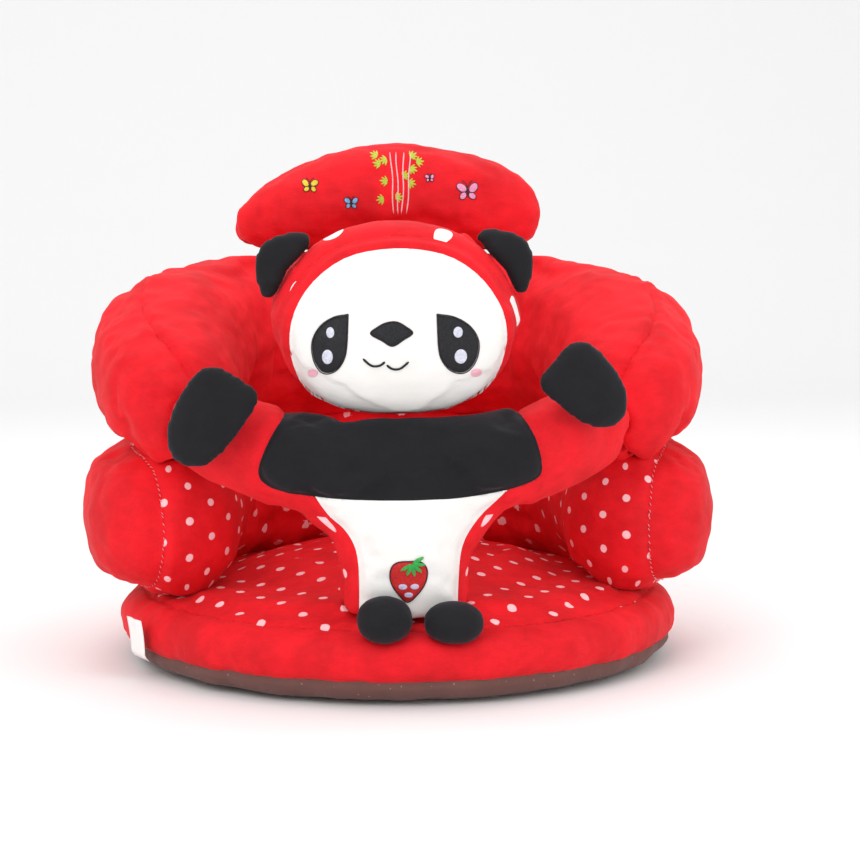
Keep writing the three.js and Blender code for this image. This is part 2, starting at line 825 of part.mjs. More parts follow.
// The left side's shapes: mirrored, and slimmer about the eye's middle, as the face is turned a little.
const flipped = (points) =>
  points.map(([x, z]) => [-(FACE.eyeX + (x - FACE.eyeX) * FACE.slim), z]).reverse();
// The right eye's half drop, straight on the inner side and pointed at its top.
const eye = [
  [FACE.eyeX - 14, FACE.eyeZ + 19],
  [FACE.eyeX - 13, FACE.eyeZ - 2],
  [FACE.eyeX - 9, FACE.eyeZ - 13],
  [FACE.eyeX, FACE.eyeZ - 18],
  [FACE.eyeX + 8, FACE.eyeZ - 15],
  [FACE.eyeX + 13, FACE.eyeZ - 3],
  [FACE.eyeX + 12, FACE.eyeZ + 8],
  [FACE.eyeX + 3, FACE.eyeZ + 17],
];
const PLASTIC_WHITE = { color: 0xe9ebf6, roughness: 0.4 };
for (const [side, turned] of [
  ["left", flipped],
  ["right", (points) => points],
]) {
  onFace(`eye_${side}`, turned(eye), BLACK);
  const high = turned(ellipse(FACE.eyeX - 1, FACE.eyeZ + 8, 3, 3.6));
  const low = turned(ellipse(FACE.eyeX + 1, FACE.eyeZ - 7, 4, 4.8));
  onFace(`eye_highlight_upper_${side}`, high, PLASTIC_WHITE, { layer: 1 });
  onFace(`eye_highlight_lower_${side}`, low, PLASTIC_WHITE, { layer: 1 });
  const smile = ribbon(
    [
      [1, MOUTH.z - 2],
      [4.5, MOUTH.z - 4],
      [9.5, MOUTH.z - 3.5],
      [13.5, MOUTH.z],
    ],
    1.8,
  );
  const halfMouth =
    side === "left"
      ? smile.map(([x, z]) => [MOUTH.x - x, z + MOUTH.leftRise]).reverse()
      : smile.map(([x, z]) => [MOUTH.x + x, z]);
  onFace(`mouth_${side}`, halfMouth, BLACK);
  const cheek = ellipse(FACE.eyeX + 12, FACE.eyeZ - 18, 4, 3);
  onFace(`cheek_${side}`, turned(cheek), { color: 0xf2a6b8, roughness: 0.6 });
}
onFace(
  "nose",
  [
    [-2, FACE.noseZ - 7],
    [6, FACE.noseZ - 4],
    [11, FACE.noseZ + 1],
    [5, FACE.noseZ + 6],
    [-2, FACE.noseZ + 8],
    [-9, FACE.noseZ + 6],
    [-15, FACE.noseZ + 1],
    [-10, FACE.noseZ - 4],
  ],
  BLACK,
);

// -------- ears, paws and feet: small cushions, open where they are sewn on

function cushion(name, form, grid, trims, parent = seat) {
  add(`${name}_cover`, cut(skin(form, grid), ...trims), BLACK, parent);
  add(`${name}_filling`, cut(stuffing(form, grid, 1), ...trims), FILLING, parent);
}

const SMALL_GRID = [12, 6];
function smallForm({ points, centre, thick, middle }) {
  return pillow({
    outline: outlineOf(points),
    centre,
    front: thick,
    back: thick,
    power: 2.2,
    middle,
  });
}

const headAround = beside(headForm, HEAD_GRID, 2.8);
// The left ear is sewn on a little lower than the right.
for (const [side, sign, root] of [
  ["left", -1, new THREE.Vector2(HEAD.x - 55, HEAD.bottom + 84)],
  ["right", 1, new THREE.Vector2(HEAD.x + 53, HEAD.bottom + 86)],
]) {
  const lean = sign * EAR.lean;
  const turned = (x, z) => {
    const along = new THREE.Vector2(x, z).rotateAround(new THREE.Vector2(), -lean);
    return [root.x + along.x, root.y + along.y];
  };
  const points = mirrored([
    [-14, -12],
    [-EAR.halfWidth, 6],
    [-EAR.halfWidth, 20],
    [-16, EAR.length - 7],
    [-6, EAR.length],
  ]).map(([x, z]) => turned(x, z));
  const form = smallForm({
    points,
    centre: turned(0, 14),
    thick: EAR.halfThick,
    middle: () => HEAD.y - 4,
  });
  cushion(`ear_${side}`, form, SMALL_GRID, [headAround]);
}

// The mitten-shaped paws lie on the sleeves: each outline is seen from the front.
const PAWS = {
  left: {
    points: [
      [-96, 198],
      [-106, 206],
      [-117, 213],
      [-128, 219],
      [-138, 212],
      [-149, 196],
      [-156, 180],
      [-158, 166],
      [-153, 153],
      [-142, 147],
      [-130, 150],
      [-113, 167],
      [-101, 186],
    ],
    centre: [-132, 180],
    y: -165,
    slope: 0.36,
    wrist: -102,
  },
  right: {
    points: [
      [73, 203],
      [81, 193],
      [97, 180],
      [110, 172],
      [122, 170],
      [134, 176],
      [138, 190],
      [132, 205],
      [122, 218],
      [112, 228],
      [102, 232],
      [94, 229],
      [84, 216],
    ],
    centre: [108, 200],
    y: -163,
    slope: -0.3,
    wrist: 77,
  },
};
const behindPaws = [
  beside(upperForm, TUBE_GRID, PAW.gap),
  beside(torsoForm, TORSO_GRID, PAW.gap),
  beside(lowerForm, TUBE_GRID, PAW.gap),
];
for (const [side, { points, centre, y, slope, wrist }] of Object.entries(PAWS)) {
  const form = smallForm({
    points,
    centre,
    thick: PAW.halfThick,
    middle: (x) => y - slope * (x - centre[0]),
  });
  const beyondWrist = side === "left" ? [wrist, 0] : [0, wrist];
  const opening = box([beyondWrist[0], -220, 100], [beyondWrist[1], 0, 300]);
  cushion(`paw_${side}`, form, SMALL_GRID, [opening, ...behindPaws]);
}

const aroundFeet = [beside(torsoForm, TORSO_GRID, 1.2), baseWhole(-1.2)];
// The left foot is plump and the right one is flatter and lower.
const FEET = {
  left: { x: [-21, -22], z: 54, half: [19, 15.5] },
  right: { x: [21, 22], z: 51.5, half: [20.5, 14] },
};
for (const [side, { x, z, half: halves }] of Object.entries(FEET)) {
  const up = new THREE.Vector3(0, 0, 1);
  const across = new THREE.Vector3(1, 0, 0);
  const start = new THREE.Vector3(x[0], FOOT.root, z + FOOT.rise);
  const end = new THREE.Vector3(x[1], FOOT.tip, z);
  const onwards = end.clone().sub(start).normalize();
  const form = tube({
    length: start.distanceTo(end),
    cap: 16,
    power: 2.2,
    frame: (t) => ({ centre: start.clone().lerp(end, t), onwards, across, up }),
    size: () => halves,
  });
  cushion(`foot_${side}`, form, SMALL_GRID, aroundFeet);
}

// -------- care label, sewn into the lower seam

const label = new THREE.Group();
const LABEL_TURN = THREE.MathUtils.degToRad(-63);
label.rotation.z = LABEL_TURN;
label.position.set(
  Math.sin(LABEL_TURN) * 202,
  -Math.cos(LABEL_TURN) * 202 * BASE.depthShare,
  BASE.lowSeam + 1,
);
const flap = box([-LABEL.width / 2, -LABEL.thick, 0], [LABEL.width / 2, 0, LABEL.length]);
add("care_label", flap, SATIN, label);
seat.add(label);

export default seat;
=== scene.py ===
"""A plush panda support seat: sewn covers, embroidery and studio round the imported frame.

Every stuffed piece is made from its filling in the frame: remeshed, blown up as cloth, then cut
along its seams into the panels that the frame names. Metres, in the frame's own axes.
"""

import json
import math

import bmesh
import bpy
import numpy as np
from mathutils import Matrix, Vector, noise
from mathutils.bvhtree import BVHTree


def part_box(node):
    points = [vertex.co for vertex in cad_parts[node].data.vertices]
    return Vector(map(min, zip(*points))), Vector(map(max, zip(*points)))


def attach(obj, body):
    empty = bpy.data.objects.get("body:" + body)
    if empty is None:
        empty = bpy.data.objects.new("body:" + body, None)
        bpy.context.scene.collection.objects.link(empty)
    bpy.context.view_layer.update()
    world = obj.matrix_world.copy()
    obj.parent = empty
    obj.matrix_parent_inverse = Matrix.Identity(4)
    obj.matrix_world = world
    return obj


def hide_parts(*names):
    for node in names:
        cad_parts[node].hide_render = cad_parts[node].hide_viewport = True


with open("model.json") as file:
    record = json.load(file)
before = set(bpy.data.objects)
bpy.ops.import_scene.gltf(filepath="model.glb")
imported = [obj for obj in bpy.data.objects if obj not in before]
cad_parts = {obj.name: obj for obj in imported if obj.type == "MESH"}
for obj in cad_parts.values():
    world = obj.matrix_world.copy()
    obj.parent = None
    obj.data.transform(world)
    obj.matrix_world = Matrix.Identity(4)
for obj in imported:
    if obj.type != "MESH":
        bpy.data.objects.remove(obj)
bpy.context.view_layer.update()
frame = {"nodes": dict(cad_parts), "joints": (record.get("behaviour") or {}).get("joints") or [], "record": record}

MM = 0.001

# ------------------------------------------------------------------ driving values

CLOTH = 2.4 * MM  # how thick the frame makes a panel
SIMULATION = {"frames": 20, "quality": 4, "mass": 0.12, "pressure": 4.0, "drawn_in": 0.03, "slack": 0.04}
STIFFNESS = {"tension": 18, "compression": 12, "shear": 8, "bending": 0.25}
VOXEL = 4.5 * MM
SMALL_VOXEL = 2.4 * MM
REGAIN_REACH = 30 * MM  # over which lost size is evened out when it is given back
CLEAR = 3.0 * MM  # from a cover to the filling of its neighbour
CAP = 8 * MM  # how much the swelling of a big piece may vary
SMALL_CAP = 4 * MM
RELAX = 8  # rounds that even out a remeshed filling
SMALL_RELAX = 3
GROOVE = 2.2 * MM  # how deep a seam pulls in
GROOVE_WIDTH = 4.5 * MM
SNUG = 8 * MM  # bolsters closer than this lie on each other
SEAM_REACH = 16 * MM  # how far off a seam still counts
STUFFING_GAP = 5.0 * MM  # from a cover down to its stuffing
PATCH_RISE = 1.1 * MM
ZIP_PITCH = 1.4 * MM
FLOOR_GAP = 0.3 * MM
ZIP_LIFT = {"height": 3.4 * MM, "radius": 146 * MM, "slope": 18 * MM}

RED = (0.84, 0.008, 0.017)
RED_DEEP = (0.60, 0.003, 0.009)
BLACK = (0.008, 0.008, 0.010)
BLACK_DEEP = (0.004, 0.004, 0.005)
WHITE = (0.88, 0.87, 0.85)
WHITE_DEEP = (0.84, 0.82, 0.79)
DOT_PINK = (0.96, 0.62, 0.66)
BROWN = (0.19, 0.090, 0.078)
BROWN_DEEP = (0.12, 0.055, 0.048)

DOT = {"radius": 3.0 * MM, "column": 19 * MM, "pitch": 27 * MM}

# ------------------------------------------------------------------ material nodes


class Nodes:
    """A short way to build a material's node tree."""

    def __init__(self, name):
        self.material = bpy.data.materials.new(name)
        self.material.use_nodes = True
        self.tree = self.material.node_tree
        self.shader = self.tree.nodes["Principled BSDF"]

    def add(self, kind, **inputs):
        node = self.tree.nodes.new(kind)
        for key, value in inputs.items():
            self.set(node.inputs[key.replace("_", " ")], value)
        return node

    def set(self, socket, value):
        if isinstance(value, bpy.types.NodeSocket):
            self.tree.links.new(value, socket)
        elif isinstance(value, tuple) and len(value) == 3 and socket.type == "RGBA":
            socket.default_value = (*value, 1)
        else:
            socket.default_value = value

    def position(self):
        return self.add("ShaderNodeTexCoord").outputs["Object"]

    def math(self, operation, a, b=0.0):
        node = self.tree.nodes.new("ShaderNodeMath")
        node.operation = operation
        self.set(node.inputs[0], a)
        self.set(node.inputs[1], b)
        return node.outputs[0]

    def noise(self, vector, scale, detail=3.0, roughness=0.5, stretch=None):
        if stretch:
            mapping = self.add("ShaderNodeMapping", Vector=vector)
            mapping.inputs["Scale"].default_value = stretch
            vector = mapping.outputs[0]
        node = self.add("ShaderNodeTexNoise", Vector=vector, Scale=scale)
        node.inputs["Detail"].default_value = detail
        node.inputs["Roughness"].default_value = roughness
        return node.outputs["Fac"]

    def mix(self, factor, a, b):
        node = self.tree.nodes.new("ShaderNodeMix")
        node.data_type = "RGBA"
        self.set(node.inputs[0], factor)
        self.set(node.inputs[6], a)
        self.set(node.inputs[7], b)
        return node.outputs[2]

    def band(self, value, low, high):
        node = self.add("ShaderNodeMapRange", Value=value)
        node.interpolation_type = "SMOOTHSTEP"
        node.inputs["From Min"].default_value = low
        node.inputs["From Max"].default_value = high
        return node.outputs[0]

    def bump(self, height, strength, distance, normal=None):
        node = self.add("ShaderNodeBump", Height=height, Strength=strength, Distance=distance)
        if normal:
            self.set(node.inputs["Normal"], normal)
        return node.outputs[0]

    def finish(self, colour, roughness, normal=None, sheen=0.0, sheen_rough=0.4, tint=None):
        self.set(self.shader.inputs["Base Color"], colour)
        self.set(self.shader.inputs["Roughness"], roughness)
        if normal:
            self.set(self.shader.inputs["Normal"], normal)
        self.shader.inputs["Sheen Weight"].default_value = sheen
        self.shader.inputs["Sheen Roughness"].default_value = sheen_rough
        self.shader.inputs["Specular IOR Level"].default_value = 0.25
        if tint:
            self.shader.inputs["Sheen Tint"].default_value = (*tint, 1)
        return self.material


def lattice(n, u, v):
    """A mask of round dots in staggered columns. u and v run over the cloth in metres."""
    column = n.math("DIVIDE", u, DOT["column"])
    index = n.math("FLOOR", column)
    odd = n.math("MODULO", n.math("ABSOLUTE", index), 2.0)
    row = n.math("ADD", n.math("DIVIDE", v, DOT["pitch"]), n.math("MULTIPLY", odd, 0.5))
    du = n.math("MULTIPLY", n.math("SUBTRACT", n.math("FRACT", column), 0.5), DOT["column"])
    dv = n.math("MULTIPLY", n.math("SUBTRACT", n.math("FRACT", row), 0.5), DOT["pitch"])
    away = n.math("SQRT", n.math("ADD", n.math("MULTIPLY", du, du), n.math("MULTIPLY", dv, dv)))
    fringe = n.math("MULTIPLY", n.noise(n.position(), 900.0, 1.0), 0.5 * MM)
    return n.band(n.math("ADD", away, fringe), DOT["radius"] + 0.5 * MM, DOT["radius"] - 0.1 * MM)


def plush(name, light, deep, sheen=0.35, tint=(1, 1, 1), dots=None):
    """Short-pile plush: brushed patches, fine pile and a soft sheen. dots names the cloth's map."""
    n = Nodes(name)
    place = n.position()
    brushed = n.noise(place, 26.0, 4.0, 0.55, stretch=(1.0, 1.0, 0.6))
    strokes = n.noise(place, 150.0, 3.0, 0.6, stretch=(0.45, 1.0, 1.0))
    pile = n.noise(place, 1500.0, 2.0, 0.7)
    shade = n.math("ADD", n.math("MULTIPLY", brushed, 0.65), n.math("MULTIPLY", strokes, 0.25))
    shade = n.math("ADD", shade, n.math("MULTIPLY", pile, 0.25))
    colour = n.mix(n.band(shade, 0.40, 0.72), deep, light)
    if dots:
        cloth = n.add("ShaderNodeUVMap")
        cloth.uv_map = dots
        split = n.add("ShaderNodeSeparateXYZ", Vector=cloth.outputs[0])
        mask = lattice(n, split.outputs[0], split.outputs[1])
        colour = n.mix(mask, colour, DOT_PINK)
    normal = n.bump(pile, 0.35, 0.6 * MM)
    normal = n.bump(strokes, 0.25, 1.2 * MM, normal)
    rough = n.band(brushed, 0.0, 1.6)
    rough = n.math("ADD", n.math("MULTIPLY", rough, 0.2), 0.72)
    return n.finish(colour, rough, normal, sheen, 0.45, tint)


def grip_cloth():
    """Coarse brown cloth with tiny pale grip dots."""
    n = Nodes("underside_cloth")
    place = n.position()
    worn = n.noise(place, 40.0, 4.0)
    weave = n.noise(place, 1200.0, 1.0)
    colour = n.mix(worn, BROWN_DEEP, BROWN)
    cells = n.add("ShaderNodeTexVoronoi", Vector=place, Scale=150.0)
    cells.inputs["Randomness"].default_value = 0.35
    dot = n.band(cells.outputs["Distance"], 0.11, 0.07)
    colour = n.mix(dot, colour, (0.30, 0.19, 0.17))
    normal = n.bump(weave, 0.5, 0.5 * MM)
    normal = n.bump(dot, 0.4, 0.4 * MM, normal)
    return n.finish(colour, 0.85, normal, 0.1)


def satin_stitch(name, light, deep, turn=0.0):
    """Embroidery: parallel threads, lying at a turn about the Y axis. Each thread is painted darker towards its
    edges as painted shade between the threads, over a random change of tone.
    """
    n = Nodes(name)
    mapping = n.add("ShaderNodeMapping", Vector=n.position())
    mapping.inputs["Rotation"].default_value = (0, turn, 0)
    split = n.add("ShaderNodeSeparateXYZ", Vector=mapping.outputs[0])
    wobble = n.math("MULTIPLY", n.noise(n.position(), 300.0, 2.0), 0.7 * MM)
    across = n.math("DIVIDE", n.math("ADD", split.outputs[2], wobble), 0.45 * MM)
    thread = n.math("ABSOLUTE", n.math("SUBTRACT", n.math("FRACT", across), 0.5))
    shade = n.noise(n.position(), 700.0, 2.0)
    # Painted shade: the colour goes towards the deep colour at the edge of each thread, where neighbouring threads
    # meet; the noise adds random tone.
    tone_and_painted_thread_shade = n.math("SUBTRACT", shade, thread)
    colour = n.mix(n.band(tone_and_painted_thread_shade, -0.1, 0.7), deep, light)
    normal = n.bump(thread, 0.6, 0.35 * MM)
    made = n.finish(colour, 0.42, normal, 0.15, 0.3)
    n.shader.inputs["Anisotropic"].default_value = 0.4
    return made


def fibre():
    """Loose white fibre."""
    n = Nodes("fibre_filling")
    wisps = n.noise(n.position(), 220.0, 6.0, 0.7)
    colour = n.mix(wisps, (0.80, 0.80, 0.79), (0.95, 0.95, 0.94))
    return n.finish(colour, 0.95, n.bump(wisps, 0.8, 2 * MM), 0.4)


def satin_label():
    """Woven satin with fine ribs."""
    n = Nodes("label_satin")
    ribs = n.noise(n.position(), 1600.0, 1.0, stretch=(1, 1, 0.2))
    colour = n.mix(ribs, (0.86, 0.85, 0.83), (0.95, 0.94, 0.92))
    return n.finish(colour, 0.38, n.bump(ribs, 0.3, 0.2 * MM), 0.2)


def zip_cloth():
    """Dark tape with the teeth of the zip across it."""
    n = Nodes("zip_tape")
    place = n.position()
    split = n.add("ShaderNodeSeparateXYZ", Vector=place)
    along = n.math("FRACT", n.math("DIVIDE", split.outputs[0], ZIP_PITCH))
    teeth = n.math("ABSOLUTE", n.math("SUBTRACT", along, 0.5))
    colour = n.mix(n.noise(place, 600.0), (0.035, 0.022, 0.02), (0.085, 0.055, 0.05))
    return n.finish(colour, 0.6, n.bump(teeth, 0.7, 0.6 * MM), 0.1)


def slider_paint():
    """Worn dark metal."""
    n = Nodes("zip_slider")
    worn = n.noise(n.position(), 400.0, 4.0)
    n.shader.inputs["Metallic"].default_value = 0.8
    colour = n.mix(worn, (0.16, 0.165, 0.175), (0.30, 0.31, 0.33))
    return n.finish(colour, n.math("ADD", n.math("MULTIPLY", worn, 0.2), 0.3), n.bump(worn, 0.2, 0.1 * MM))


# Each thread: its light colour, its deep colour (for random tone and for the painted shade at the edges of each
# thread), and the turn of the stitches.
EMBROIDERY = {
    "black_embroidery": ((0.022, 0.023, 0.028), (0.006, 0.006, 0.008), 0.0),
    "highlight_embroidery": ((0.86, 0.86, 0.95), (0.52, 0.53, 0.64), 0.5),
    "cheek_embroidery": ((0.98, 0.58, 0.66), (0.88, 0.42, 0.52), 0.0),
    "green_embroidery": ((0.06, 0.50, 0.10), (0.02, 0.28, 0.05), 0.8),
    "yellow_embroidery": ((0.90, 0.74, 0.06), (0.62, 0.44, 0.02), 0.6),
    "blue_embroidery": ((0.30, 0.55, 0.85), (0.12, 0.30, 0.55), 0.4),
    "pink_embroidery": ((0.93, 0.45, 0.66), (0.70, 0.22, 0.42), 0.4),
    "strawberry_embroidery": ((0.72, 0.03, 0.03), (0.42, 0.01, 0.01), 0.3),
}
MATERIALS = {
    "red_plush": plush("red_plush", RED, RED_DEEP, 0.12, (1.0, 0.25, 0.25)),
    "dotted_plush": plush("dotted_plush", RED, RED_DEEP, 0.10, (1.0, 0.25, 0.25), dots="cloth"),
    "black_plush": plush("black_plush", BLACK, BLACK_DEEP, 0.12, (0.6, 0.65, 0.8)),
    "white_plush": plush("white_plush", WHITE, WHITE_DEEP, 0.2),
    "underside_cloth": grip_cloth(),
    "fibre_filling": fibre(),
    "zip_tape": zip_cloth(),
    "zip_slider": slider_paint(),
    "label_satin": satin_label(),
}
# Thread colours that have no slot of their own.
THREADS = {
    "stem": satin_stitch("stem_thread", (0.95, 0.66, 0.66), (0.80, 0.42, 0.44), 1.5),
    "leaf": satin_stitch("leaf_thread", (0.62, 0.72, 0.08), (0.36, 0.46, 0.03), 0.9),
    "outline": satin_stitch("outline_thread", (0.05, 0.03, 0.04), (0.02, 0.01, 0.015)),
    "seed": satin_stitch("seed_thread", (0.72, 0.68, 0.86), (0.48, 0.44, 0.66)),
    "seam": satin_stitch("seam_thread", (0.92, 0.42, 0.45), (0.72, 0.20, 0.24)),
}
for thread_name, (light, deep, turn) in EMBROIDERY.items():
    MATERIALS[thread_name] = satin_stitch(thread_name, light, deep, turn)
SLOT_OF = {part["node"]: part["material_slot"] for part in frame["record"]["subparts"]}


def dress(obj, slot):
    """Gives a piece the material of one of the record's slots."""
    obj.data.materials.clear()
    obj.data.materials.append(MATERIALS[slot])


# ------------------------------------------------------------------ stuffed pieces


def link(name, mesh):
    obj = bpy.data.objects.new(name, mesh)
    bpy.context.scene.collection.objects.link(obj)
    return obj


def link_mesh(name, bm):
    data = bpy.data.meshes.new(name)
    bm.to_mesh(data)
    bm.free()
    return link(name, data)


def apply_modifiers(obj):
    graph = bpy.context.evaluated_depsgraph_get()
    mesh = bpy.data.meshes.new_from_object(obj.evaluated_get(graph))
    obj.modifiers.clear()
    old = obj.data
    obj.data = mesh
    bpy.data.meshes.remove(old)


def rounded_copy(node, voxel):
    """A smooth, even mesh of a filling of the frame."""
    source = frame["nodes"][node]
    obj = link(f"{node}_shape", source.data.copy())
    bm = bmesh.new()
    bm.from_mesh(obj.data)
    bmesh.ops.remove_doubles(bm, verts=bm.verts, dist=0.02 * MM)
    bmesh.ops.join_triangles(
        bm, faces=bm.faces, angle_face_threshold=0.9, angle_shape_threshold=1.2
    )
    bm.to_mesh(obj.data)
    bm.free()
    smooth = obj.modifiers.new("smooth", "SUBSURF")
    smooth.levels = 2
    remesh = obj.modifiers.new("remesh", "REMESH")
    remesh.mode = "VOXEL"
    remesh.voxel_size = voxel
    relax = obj.modifiers.new("relax", "SMOOTH")
    relax.iterations = SMALL_RELAX if voxel <= SMALL_VOXEL else RELAX
    relax.factor = 0.6
    apply_modifiers(obj)
    regain(obj, Seams.tree(source), rounds=int(REGAIN_REACH / voxel))
    return obj


def spread(mesh, values, rounds):
    """Evens out a value held on each vertex with its neighbours' values."""
    ends = np.empty(len(mesh.edges) * 2, dtype=int)
    mesh.edges.foreach_get("vertices", ends)
    a, b = ends.reshape(-1, 2).T
    count = len(mesh.vertices)
    degree = np.bincount(a, minlength=count) + np.bincount(b, minlength=count)
    for _round in range(rounds):
        total = np.bincount(a, values[b], count) + np.bincount(b, values[a], count)
        values = (values + total / np.maximum(degree, 1)) / 2
    return values


def regain(obj, target, rounds):
    """Moves a smoothed skin back out to the solid that it lost size against."""
    points, normals = coordinates(obj.data), normals_of(obj.data)
    gap = np.empty(len(points))
    for i, point in enumerate(points):
        near = target.find_nearest(Vector(point))[0]
        gap[i] = np.dot(np.array(near) - point, normals[i])
    gap = spread(obj.data, gap, rounds)
    set_coordinates(obj.data, points + normals * gap[:, None])


def keep_clear(obj, filling, snug=0.0):
    """Holds a cover off the fillings of its neighbours, with room for their own covers.

    Where it faces a neighbour closer than snug, it is laid against it.
    """
    points, normals = coordinates(obj.data), normals_of(obj.data)
    for name, tree in FILLINGS.items():
        if name == filling:
            continue
        for i, point in enumerate(points):
            at = Vector(point)
            near, normal, _index, _away = tree.find_nearest(at, CLEAR + max(snug, 3 * CLEAR))
            if near is None:
                continue
            spare = (at - near).dot(normal) - CLEAR
            if spare < 0:
                points[i] = at - normal * spare
            elif spare < snug and normal.dot(Vector(normals[i])) < -0.4:
                points[i] = at - normal * spare * min(1, 2 - 2 * spare / snug)
    set_coordinates(obj.data, points)


def coordinates(mesh):
    flat = np.empty(len(mesh.vertices) * 3)
    mesh.vertices.foreach_get("co", flat)
    return flat.reshape(-1, 3)


def set_coordinates(mesh, points):
    mesh.vertices.foreach_set("co", points.reshape(-1))
    mesh.update()


def normals_of(mesh):
    flat = np.empty(len(mesh.vertices) * 3)
    mesh.vertices.foreach_get("normal", flat)
    return flat.reshape(-1, 3)


class Seams:
    """Tells which panel of the frame a point of a cover belongs to, and how far it is from a seam.

    A panel of the frame has an outer and an inner skin, and walls that stand across the cloth
    along its seams. Close to a seam the distance is taken from the wall's own plane.
    """

    def __init__(self, panels, filling, claim=None):
        self.panels = panels
        self.claim = claim  # how much further a point counts as part of the first panel
        stuffing = self.tree(frame["nodes"][filling])
        self.skins = [self.tree(frame["nodes"][name]) for name in panels]
        self.walls = [self.wall_of(frame["nodes"][name], stuffing) for name in panels]

    @staticmethod
    def tree(obj, keep=None):
        mesh = obj.data
        points = [v.co[:] for v in mesh.vertices]
        faces = [tuple(p.vertices) for p in mesh.polygons if keep is None or keep(p)]
        return BVHTree.FromPolygons(points, faces) if faces else None

    @classmethod
    def wall_of(cls, obj, stuffing):
        """The faces that join a panel's outer skin to its inner one."""
        off = [stuffing.find_nearest(v.co)[3] for v in obj.data.vertices]

        def crosses(face):
            ends = [off[i] for i in face.vertices]
            return max(ends) - min(ends) > 0.5 * CLOTH

        return cls.tree(obj, crosses)

    def distances(self, points):
        """For each point and panel: how far outside the panel it lies, negative inside."""
        count = len(self.panels)
        table = np.empty((len(points), count))
        for i, point in enumerate(points):
            at = Vector(point)
            off = [tree.find_nearest(at)[3] for tree in self.skins]
            for k in range(count):
                others = min((off[j] for j in range(count) if j != k), default=1.0)
                outside = off[k] - others
                across = None
                if self.walls[k] is not None and count > 1:
                    near, normal, _index, away = self.walls[k].find_nearest(at)
                    if away < SEAM_REACH:
                        across = (at - near).dot(normal)
                if across is None:
                    across = math.copysign(SEAM_REACH, outside)
                elif abs(outside) > 1.5 * MM and outside * across < 0:
                    across = math.copysign(abs(across), outside)
                table[i, k] = across
            if self.claim:
                table[i, 0] -= self.claim(at)
        return table

    def from_seam(self, points):
        if len(self.panels) == 1:
            return np.full(len(points), 1.0)
        nearest = np.sort(self.distances(points), axis=1)
        return (nearest[:, 1] - nearest[:, 0]) / 2


FILLINGS = {
    name: Seams.tree(obj) for name, obj in frame["nodes"].items() if name.endswith("_filling")
}


def inflate(obj, seams, cap, amount):
    """Blows the cover up as cloth, with the seams drawn in, and keeps the size that is asked for."""
    mesh = obj.data
    start, normals = coordinates(mesh).copy(), normals_of(mesh).copy()
    near = np.exp(-((seams.from_seam(start) / GROOVE_WIDTH) ** 2))
    group = obj.vertex_groups.new(name="seam")
    for i, weight in enumerate(near):
        group.add([i], float(weight), "REPLACE")
    cloth = obj.modifiers.new("cloth", "CLOTH")
    settings = cloth.settings
    settings.quality = SIMULATION["quality"]
    settings.mass = SIMULATION["mass"]
    for kind, value in STIFFNESS.items():
        setattr(settings, f"{kind}_stiffness", value)
    settings.use_pressure = True
    settings.uniform_pressure_force = SIMULATION["pressure"]
    settings.vertex_group_shrink = "seam"
    settings.shrink_min = -SIMULATION["slack"]
    settings.shrink_max = SIMULATION["drawn_in"]
    settings.effector_weights.gravity = 0
    cloth.collision_settings.use_collision = False
    scene = bpy.context.scene
    last = SIMULATION["frames"]
    scene.frame_start, scene.frame_end = 1, last
    cloth.point_cache.frame_start, cloth.point_cache.frame_end = 1, last
    for step in range(1, last + 1):
        scene.frame_set(step)
    apply_modifiers(obj)
    scene.frame_set(1)
    moved = coordinates(obj.data) - start
    moved -= moved.mean(axis=0)
    out = (moved * normals).sum(axis=1)
    slip = moved - normals * out[:, None]
    length = np.linalg.norm(slip, axis=1, keepdims=True)
    slip *= np.minimum(1, cap / 2 / np.maximum(length, 1e-9))
    out = amount + np.clip(out - np.median(out), -amount, cap / 2)
    set_coordinates(obj.data, start + slip + normals * out[:, None])


def crease(obj, seams, strength, groove):
    """Small folds that run away from each seam, and the pinch of the seam itself."""
    mesh = obj.data
    points, normals = coordinates(mesh), normals_of(mesh)
    away = seams.from_seam(points)
    near = np.exp(-((away / (0.6 * GROOVE_WIDTH)) ** 2))
    puckered = np.exp(-((away / (5 * GROOVE_WIDTH)) ** 2))
    folds = np.array([noise.noise(Vector((p[0], p[1], p[2] * 1.3)) * 80.0) for p in points])
    broad = np.array([noise.noise(Vector(p) * 30.0 + Vector((7, 3, 1))) for p in points])
    height = strength * (1.5 * folds * puckered + 0.9 * broad) - groove * near
    set_coordinates(mesh, points + normals * height[:, None])


def cut_along(bm, field):
    """Splits the faces of a mesh where a field held on its vertices changes sign."""
    crossing = []
    for edge in bm.edges:
        a, b = (field[v] for v in edge.verts)
        if a * b < 0:
            crossing.append((edge, edge.verts[0], a / (a - b)))
    made = set()
    for edge, start, share in crossing:
        share = min(max(share, 0.03), 0.97)
        _edge, vert = bmesh.utils.edge_split(edge, start, share)
        field[vert] = 0.0
        made.add(vert)
    for face in list({f for v in made for f in v.link_faces}):
        on = [v for v in face.verts if v in made]
        if len(on) == 2 and not any(set(e.verts) == set(on) for e in face.edges):
            bmesh.utils.face_split(face, on[0], on[1])


